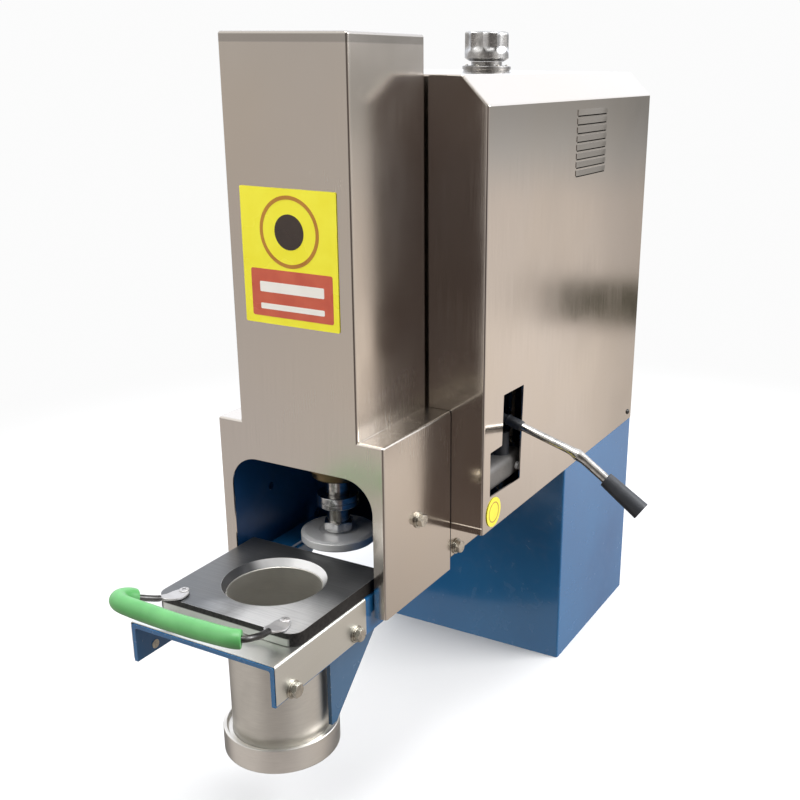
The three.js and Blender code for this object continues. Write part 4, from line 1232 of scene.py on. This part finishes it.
def breather_cap():
    low, high = along_axis("breather_cap")
    radius = local("breather_cap")[1].x - BREATHER[0]
    profile = [(0, low + 8), (10, low + 8), (10, low), (radius - 5.6, low), (radius - 1.0, low + 2.4),
               (radius, low + 3.4)]
    profile += [(radius, low + 3.4 + k * (high - low - 5.4) / 14) for k in range(1, 15)]
    profile += [(radius - 0.5, high - 0.9), (radius - 1.6, high - 0.1), (radius - 4, high),
                (9, high - 0.4), (0, high - 0.6)]
    return turned("z", BREATHER, profile, 160, fluted)


def breather_neck():
    low, high = along_axis("breather_neck")
    deck = CASING_HIGH.z + 0.3
    return turned("z", BREATHER, rounded([
        (12, low), (16, low), (16, deck), (25, deck), (25, deck + 1.6), (26, deck + 1.9, 0.4),
        (26, deck + 5.5, 0.8), (16.5, deck + 6.1, 0.6), (16.5, high), (12, high)], 3), 72)


place("breather_cap_ribbed", breather_cap(), CAP_CHROME, "breather_cap", edge=0, crease=40)
place("breather_neck_flange", breather_neck(), FLANGE_STEEL, "breather_neck", edge=0)
flange_spots = [(BREATHER[0] + 21.5 * math.cos(a), BREATHER[1] + 21.5 * math.sin(a), CASING_HIGH.z + 5.9)
                for a in (math.pi / 6 + k * math.pi / 3 for k in range(6))]
scatter("breather_screws", lambda: pan_screw(1.9, 1.3), flange_spots, BOLT_STEEL, (0, 0, 1))


# ---------------------------------------------------------------- valve and lever
VALVE_LOW, VALVE_HIGH = local("valve_body")
LEVER_Y = middle_of("lever_grip")[1]
PIVOT = Vector((96, LEVER_Y, 118))
KNEE = Vector((190, LEVER_Y, 90))
ARM_TILT = math.radians(34.6)
ARM = Vector((math.cos(ARM_TILT), 0, -math.sin(ARM_TILT)))
GRIP_START, GRIP_END, SOCKET_END = 36.6, 83.2, 78
EARS = [(188, 192.6), (205.4, 210)]
VALVE_TOP, NECK_TOP = 76, 100


def valve_body():
    """A rounded casting with a neck for the spool and two ears for the lever's pin."""
    body = block((VALVE_LOW.x, VALVE_HIGH.x), (VALVE_LOW.y, VALVE_HIGH.y), (VALVE_LOW.z, VALVE_TOP), [
        (7.0, lambda middle, line: abs(line.y) > 0.999), (4.0, along("z"))])
    ears = [
        block((VALVE_LOW.x, 101), reach, (VALVE_TOP - 2, VALVE_HIGH.z), [
            (3.0, lambda middle, line: abs(line.y) > 0.999 and middle.z > NECK_TOP)])
        for reach in EARS
    ]
    neck = rod("z", (104, LEVER_Y, 0), 9.5, VALVE_TOP - 2, NECK_TOP, 40, 1.0)
    return cut(
        join(body, neck, *ears),
        rod("z", (104, LEVER_Y, 0), 6.3, VALVE_LOW.z - 1, NECK_TOP + 1, 36),
        rod("y", (PIVOT.x, 0, PIVOT.z), 3.3, VALVE_LOW.y - 1, VALVE_HIGH.y + 1, 28),
    )


def lever_rod():
    """The lever's bar: a boss on the pin, a straight arm, a hammered knee and the outer arm."""
    boss = rod("y", tuple(PIVOT), 6.5, -6, 6, 40, 0.8)
    outer_end = KNEE + ARM * (SOCKET_END - 1)
    path = []
    for k in range(15):
        path.append(PIVOT.lerp(KNEE, k / 16))
    before, after = PIVOT.lerp(KNEE, 14 / 16), KNEE + ARM * 12
    for k in range(1, 9):
        t = k / 8
        path.append((1 - t) ** 2 * before + 2 * t * (1 - t) * KNEE + t * t * after)
    path += [(KNEE + ARM * 12).lerp(outer_end, k / 10) for k in range(1, 11)]
    total = (KNEE - PIVOT).length + SOCKET_END - 1
    knee_at = (KNEE - PIVOT).length / total

    def size(share):
        knob = 1.2 * math.exp(-(((share - knee_at) / 0.055) ** 2))
        return 4.2 + 0.7 / (1 + math.exp((knee_at - share) * 60)) + knob
    bar = swept(path, size, 28)
    shape = join(boss, bar)
    return cut(shape, rod("y", (PIVOT.x, 0, PIVOT.z), 3.3, 180, 220, 28))


def lever_grip():
    """The grip widens towards its flat end."""
    path = [KNEE + ARM * (GRIP_START + (GRIP_END - GRIP_START) * k / 20) for k in range(21)]

    def size(share):
        return 7.6 + 1.8 * share ** 0.8
    grip = swept(path, size, 48)
    return cut(grip, swept([KNEE + ARM * (GRIP_START - 5), KNEE + ARM * SOCKET_END], 5.4, 32))


def lever_boot():
    """A black sleeve over the lever's inner end."""
    path = [PIVOT.lerp(KNEE, 0.18 + 0.17 * k / 12) for k in range(13)]

    def size(share):
        return 5.5 + 0.5 * math.exp(-share * 20) - 0.5 * math.exp(-(1 - share) * 30)
    return swept(path, size, 28, bore=4.3)


def paint_shade_black(piece, inside):
    """Paints black, as painted shade, the faces whose centre, in the press frame, passes a test."""
    piece.data.materials.append(BLACK)
    back = TO_ROW.inverted()
    for face in piece.data.polygons:
        face.material_index = int(inside(back @ face.center))


valve = place("valve_body_cast", valve_body(), CAST_GREY, "valve_body", edge=0.5)
# painted shade: the valve's neck and ears, in the dark behind the lever slot, are black
paint_shade_black(valve, lambda spot: spot.z > VALVE_TOP + 0.3)
place("lever_pin_ground", rod("y", tuple(PIVOT), 3, -13, 13, 32, 0.5), BOLT_STEEL, "lever_pin", edge=0)
lever_bar = place("lever_rod_forged", lever_rod(), CHROME, "lever_rod", edge=0)
# painted shade: the bar's inner end, in the dark inside the casing, is black
paint_shade_black(lever_bar, lambda spot: spot.x < VALVE_HIGH.x)
place("lever_boot", lever_boot(), BLACK, body="lever", slot="black_plastic", edge=0.15)
place("lever_grip_moulded", lever_grip(), BLACK, "lever_grip", edge=0.6, crease=50)
valve_screw_spot = (VALVE_HIGH.x - 0.6, 210, 61)
# painted highlight: the valve's screw gets the white finish
scatter("valve_screw", lambda: socket_screw(4.0, 3.8), [valve_screw_spot], WHITE_SCREW_HIGHLIGHT, (1, 0, 0))


# ---------------------------------------------------------------- switch and labels
def switch_housing():
    low, high = local("switch_housing")
    middle_y, middle_z = (low.y + high.y) / 2, (low.z + high.z) / 2
    outer = block((low.x, high.x), (low.y, high.y), (low.z, high.z), [
        (4.0, along("x")), (1.6, lambda middle, line: middle.x < low.x + 0.01)])
    well = block((low.x - 1, high.x - 1.7), (middle_y - 12, middle_y + 12), (middle_z - 20, middle_z + 20),
                 [(1.5, along("x"))])
    return cut(outer, well)


def switch_rocker():
    low, high = local("switch_rocker")
    middle = (low.z + high.z) / 2
    outline = [(high.x - 2, low.z), (low.x + 4, low.z), (low.x + 2.4, middle - 3), (low.x + 2.2, middle + 3),
               (low.x, high.z), (high.x - 2, high.z), (high.x, middle)]
    return prism("y", outline, low.y, high.y)


place("switch_housing_moulded", switch_housing(), BLACK, "switch_housing", edge=0.3)
place("switch_rocker_moulded", switch_rocker(), GREEN_SWITCH, "switch_rocker", edge=0.7)


def film(x, z, depth, thick=0.12, corner=1.0):
    """A thin printed rectangle on the cover, its front face at a depth."""
    corners = [(x[0], z[0]), (x[1], z[0]), (x[1], z[1]), (x[0], z[1])]
    return prism("y", rounded([(*spot, corner) for spot in corners], 4), depth, depth + thick)


def flat_ring(middle, outer, inner, depth, axis="y", thick=0.12):
    top = depth + thick
    return turned(axis, middle, [(inner, depth), (outer, depth), (outer, top), (inner, top)], 96)


LABEL_LOW, LABEL_HIGH = local("front_label")
label_middle = (LABEL_LOW.x + LABEL_HIGH.x) / 2
ring_spot = (label_middle + 0.8, 0, LABEL_HIGH.z - 36)
sheet = film((LABEL_LOW.x, LABEL_HIGH.x), (LABEL_LOW.z, LABEL_HIGH.z), LABEL_LOW.y, 0.5, 1.5)
place("front_label_film", sheet, YELLOW, "front_label", edge=0)
place("label_ring", flat_ring(ring_spot, 30.5, 27.2, LABEL_LOW.y - 0.12), ORANGE, slot="label_film", edge=0)
label_disc = rod("y", ring_spot, 15, LABEL_LOW.y - 0.12, LABEL_LOW.y, 64)
place("label_disc", label_disc, INK, slot="label_film", edge=0)
panel = ((-41, 44), (243.6, 285))
place("label_panel", film(*panel, LABEL_LOW.y - 0.12, corner=2.0), RED, slot="label_film", edge=0)
bars = [film((panel[0][0] + 9, panel[0][1] - 9), (z, z + high), LABEL_LOW.y - 0.2, 0.08, 1.0)
        for z, high in ((265, 9), (250, 5))]
place("label_bars", gather(bars), PALE, slot="label_film", edge=0)

round_low, round_high = local("round_label")
round_spot = (0, *middle_of("round_label")[1:])
round_film = rod("x", round_spot, 15, round_low.x, round_high.x, 72)
place("round_label_film", round_film, YELLOW, "round_label", edge=0)
round_ring = flat_ring(round_spot, 10.6, 9.6, round_high.x, "x", 0.1)
place("round_label_ring", round_ring, ORANGE, slot="label_film", edge=0)


# ---------------------------------------------------------------- inner parts from the frame
def smooth_by_angle():
    """A node group that rounds the shading of the frame's own meshes."""
    group = bpy.data.node_groups.new("smooth_by_angle", "GeometryNodeTree")
    group.is_modifier = True
    for way in ("INPUT", "OUTPUT"):
        group.interface.new_socket("Geometry", in_out=way, socket_type="NodeSocketGeometry")
    steps = Nodes(group)
    start = steps.add("NodeGroupInput").outputs[0]
    angle = steps.add("GeometryNodeInputMeshEdgeAngle").outputs["Unsigned Angle"]
    sharp = steps.add("FunctionNodeCompare", {"A": angle, "B": math.radians(30)}).outputs["Result"]
    smooth = steps.add("GeometryNodeSetShadeSmooth", {"Geometry": start}).outputs[0]
    sockets = {"Geometry": smooth, "Selection": sharp, "Shade Smooth": False}
    creased = steps.add("GeometryNodeSetShadeSmooth", sockets, domain="EDGE").outputs[0]
    group.links.new(creased, steps.add("NodeGroupOutput").inputs[0])
    return group


def dress(node, finish):
    """Gives a CAD node its finish, soft edges and smooth shading."""
    part = frame["nodes"][node]
    part.data.materials.clear()
    part.data.materials.append(finish)
    soften = part.modifiers.new("soften", "BEVEL")
    soften.width = 0.5 * MM
    soften.segments = 2
    soften.limit_method = "ANGLE"
    soften.angle_limit = math.radians(35)
    part.modifiers.new("shade", "NODES").node_group = SMOOTH


SMOOTH = smooth_by_angle()
INNER = {
    "cylinder_piston": DARK_STEEL, "oil_tank": CAST_GREY, "motor_shell": CAST_GREY, "motor_stator": COPPER,
    "motor_rotor": DARK_STEEL, "motor_fan": BLACK, "fan_cover": BLACK, "pump_body": CAST_GREY,
    "pipe_cap": BOLT_STEEL, "pipe_rod": BOLT_STEEL, "pipe_pump": BOLT_STEEL, "pipe_tank": BOLT_STEEL,
    "valve_spool": CHROME,
}
for node, finish in INNER.items():
    dress(node, finish)


# ---------------------------------------------------------------- floor, light and room
BACKDROP = 0.97


def floor():
    """A pale floor that turns into the plain background away from the machine."""
    bm = bmesh.new()
    bmesh.ops.create_circle(bm, cap_ends=True, segments=96, radius=40)
    disc = solid(bm, "floor")
    paper = Finish("floor_paper", (0.8, 0.8, 0.8), 0.0, 0.9, Specular_IOR_Level=0.1)
    glow = paper.add("ShaderNodeEmission", {"Color": (*tint(BACKDROP), 1)}).outputs[0]
    away = paper.add("ShaderNodeVectorMath", {0: paper.spot}, operation="LENGTH").outputs["Value"]
    fade = paper.spread(away, 0, 1, 0.35, 1.3, soft=True)
    blend = paper.add("ShaderNodeMixShader", {0: fade, 1: paper.surface.outputs[0], 2: glow})
    paper.tree.links.new(blend.outputs[0], paper.tree.nodes["Material Output"].inputs["Surface"])
    disc.data.materials.append(paper.material)
    disc.visible_glossy = False
    disc.visible_diffuse = False


def tint(level, color=(1, 1, 1)):
    return [level * c for c in color]


def stops(levels):
    """Ramp stops from heights of a direction (-1 straight down, 1 straight up), levels and tints."""
    return [((height + 1) / 2, tint(level, color)) for height, level, color in levels]


WARM, SAND, PLAIN, BROWN = (1, 0.93, 0.88), (1, 0.9, 0.82), (1, 0.985, 0.96), (1, 0.8, 0.76)
COOL = (0.98, 1.01, 1.07)
FRONT_LEFT = stops([
    (-1, 0.45, WARM), (-0.55, 0.66, WARM), (-0.32, 0.66, WARM), (-0.16, 0.55, WARM), (-0.08, 0.57, WARM),
    (-0.02, 0.6, WARM), (0.05, 0.5, PLAIN), (0.2, 0.8, PLAIN), (0.5, 1.15, PLAIN), (1, 1.1, PLAIN),
])
FRONT_RIGHT = stops([
    (-1, 0.6, WARM), (-0.56, 0.6, WARM), (-0.44, 0.16, BROWN), (-0.3, 0.1, BROWN), (-0.1, 0.08, BROWN),
    (-0.03, 0.14, BROWN), (0.05, 0.12, WARM), (0.55, 0.1, WARM), (0.8, 0.9, PLAIN), (1, 1.1, PLAIN),
])
BACK_RIGHT = stops([
    (-1, 0.35, SAND), (-0.55, 0.48, SAND), (-0.46, 0.62, SAND), (-0.41, 0.72, SAND), (-0.34, 0.9, SAND),
    (-0.24, 0.92, SAND), (-0.21, 0.8, SAND), (-0.12, 0.75, SAND), (-0.08, 0.54, PLAIN), (-0.04, 0.38, PLAIN),
    (0.07, 0.4, PLAIN), (0.14, 1.4, COOL), (1, 1.35, COOL),
])
BACK_LEFT = stops([
    (-1, 0.35, SAND), (-0.3, 0.7, SAND), (-0.03, 0.9, PLAIN), (0.01, 1.5, COOL), (1, 1.35, COOL),
])
HILL = (0.07, 0.065, 0.045)


def room():
    """What the steel mirrors: warm ground and white walls, a dark side to the front right,
    and a low dark hill far behind on the right."""
    world = bpy.data.worlds.new("room")
    bpy.context.scene.world = world
    world.use_nodes = True
    sky = Nodes(world.node_tree)
    way = sky.add("ShaderNodeTexCoord").outputs["Generated"]
    up = sky.add("ShaderNodeSeparateXYZ", {0: way}).outputs["Z"]
    height = sky.spread(up, 0, 1, -1, 1)
    level = sky.add("ShaderNodeVectorMath", {0: way, 1: (1, 1, 0)}, operation="MULTIPLY").outputs[0]
    level = sky.add("ShaderNodeVectorMath", {0: level}, operation="NORMALIZE").outputs[0]
    east = sky.add("ShaderNodeSeparateXYZ", {0: level}).outputs
    toward = sky.add("ShaderNodeVectorMath", {0: level, 1: (0.5, -0.866, 0)}, operation="DOT_PRODUCT")
    shade = sky.spread(toward.outputs["Value"], 0, 1, 0.76, 0.93, soft=True)
    front = sky.mix(shade, sky.ramp(height, FRONT_LEFT), sky.ramp(height, FRONT_RIGHT))
    back = sky.mix(sky.spread(east["X"], 0, 1, 0.0, 0.15, soft=True),
                   sky.ramp(height, BACK_LEFT), sky.ramp(height, BACK_RIGHT))
    low = sky.spread(up, 1, 0, 0.02, 0.1, soft=True)
    post = sky.math("MULTIPLY", low, sky.spread(east["X"], 0, 1, 0.354, 0.342, soft=True))
    back = sky.mix(sky.math("MULTIPLY", post, 0.38), back, (0.1, 0.09, 0.075))
    crest = sky.math("MULTIPLY", sky.spread(up, 0, 1, -0.24, -0.222, soft=True),
                     sky.spread(up, 1, 0, -0.2, -0.182, soft=True))
    hill = sky.math("MULTIPLY", crest, sky.spread(east["X"], 0, 1, 0.415, 0.385, soft=True))
    back = sky.mix(hill, back, HILL)
    seen = sky.mix(sky.spread(east["Y"], 0, 1, -0.15, 0.25, soft=True), front, back)
    clutter = sky.add("ShaderNodeTexNoise", {"Vector": way, "Scale": 2.6, "Detail": 2.0}).outputs[0]
    mirrored = sky.add("ShaderNodeBackground", {"Color": seen, "Strength": sky.spread(clutter, 0.9, 1.08)})
    direct = sky.add("ShaderNodeBackground", {"Color": (*tint(BACKDROP), 1)})
    camera_ray = sky.add("ShaderNodeLightPath").outputs["Is Camera Ray"]
    choice = sky.add("ShaderNodeMixShader", {0: camera_ray, 1: mirrored.outputs[0], 2: direct.outputs[0]})
    sky.tree.links.new(choice.outputs[0], sky.tree.nodes["World Output"].inputs["Surface"])


def flag():
    """A black cloth on the floor under the press, seen only in reflections."""
    bm = bmesh.new()
    bmesh.ops.create_circle(bm, cap_ends=True, segments=48, radius=0.24)
    cloth = solid(bm, "flag")
    cloth.data.transform(Matrix.Translation((-0.1, -0.36, 0.002)) @ Matrix.Diagonal((1, 0.75, 1, 1)))
    finish = Finish("black_cloth", (0.01, 0.01, 0.012), 0.0, 0.95)
    finish.bump(finish.noise(300, 2), 0.1, 0.0005)
    cloth.data.materials.append(finish.material)
    cloth.visible_camera = False
    cloth.visible_shadow = False
    cloth.visible_diffuse = False


def lamp(name, spot, target, size, power, mirrored=True):
    data = bpy.data.lights.new(name, "AREA")
    data.size = size
    data.energy = power
    light = bpy.data.objects.new(name, data)
    light.location = spot
    light.rotation_euler = (Vector(target) - Vector(spot)).to_track_quat("-Z", "Y").to_euler()
    light.visible_glossy = mirrored
    bpy.context.scene.collection.objects.link(light)


def camera():
    data = bpy.data.cameras.new("camera")
    data.lens, data.sensor_width = 48.04, 36
    data.shift_x, data.shift_y = -0.0954, 0.0285
    eye = bpy.data.objects.new("camera", data)
    right = Vector((0.88642, 0.46273, 0.01193)).normalized()
    ahead = Vector((-0.43475, 0.84112, -0.32174)).normalized()
    up = right.cross(ahead)
    turn = Matrix((right, up, -ahead)).transposed().to_4x4()
    eye.matrix_world = Matrix.Translation((0.5539, -1.1558, 0.6806)) @ turn
    bpy.context.scene.collection.objects.link(eye)
    bpy.context.scene.camera = eye


floor()
flag()
room()
lamp("key", (1.7, 0.5, 1.5), (0, 0, 0.25), 1.2, 42)
lamp("fill", (-1.6, -1.5, 1.2), (0, -0.2, 0.3), 1.4, 14, mirrored=False)
lamp("overhead", (0.0, -0.9, 2.0), (0, -0.4, 0.2), 1.0, 20)
camera()
bpy.context.scene.view_settings.view_transform = "Standard"
bpy.context.scene.view_settings.look = "None"
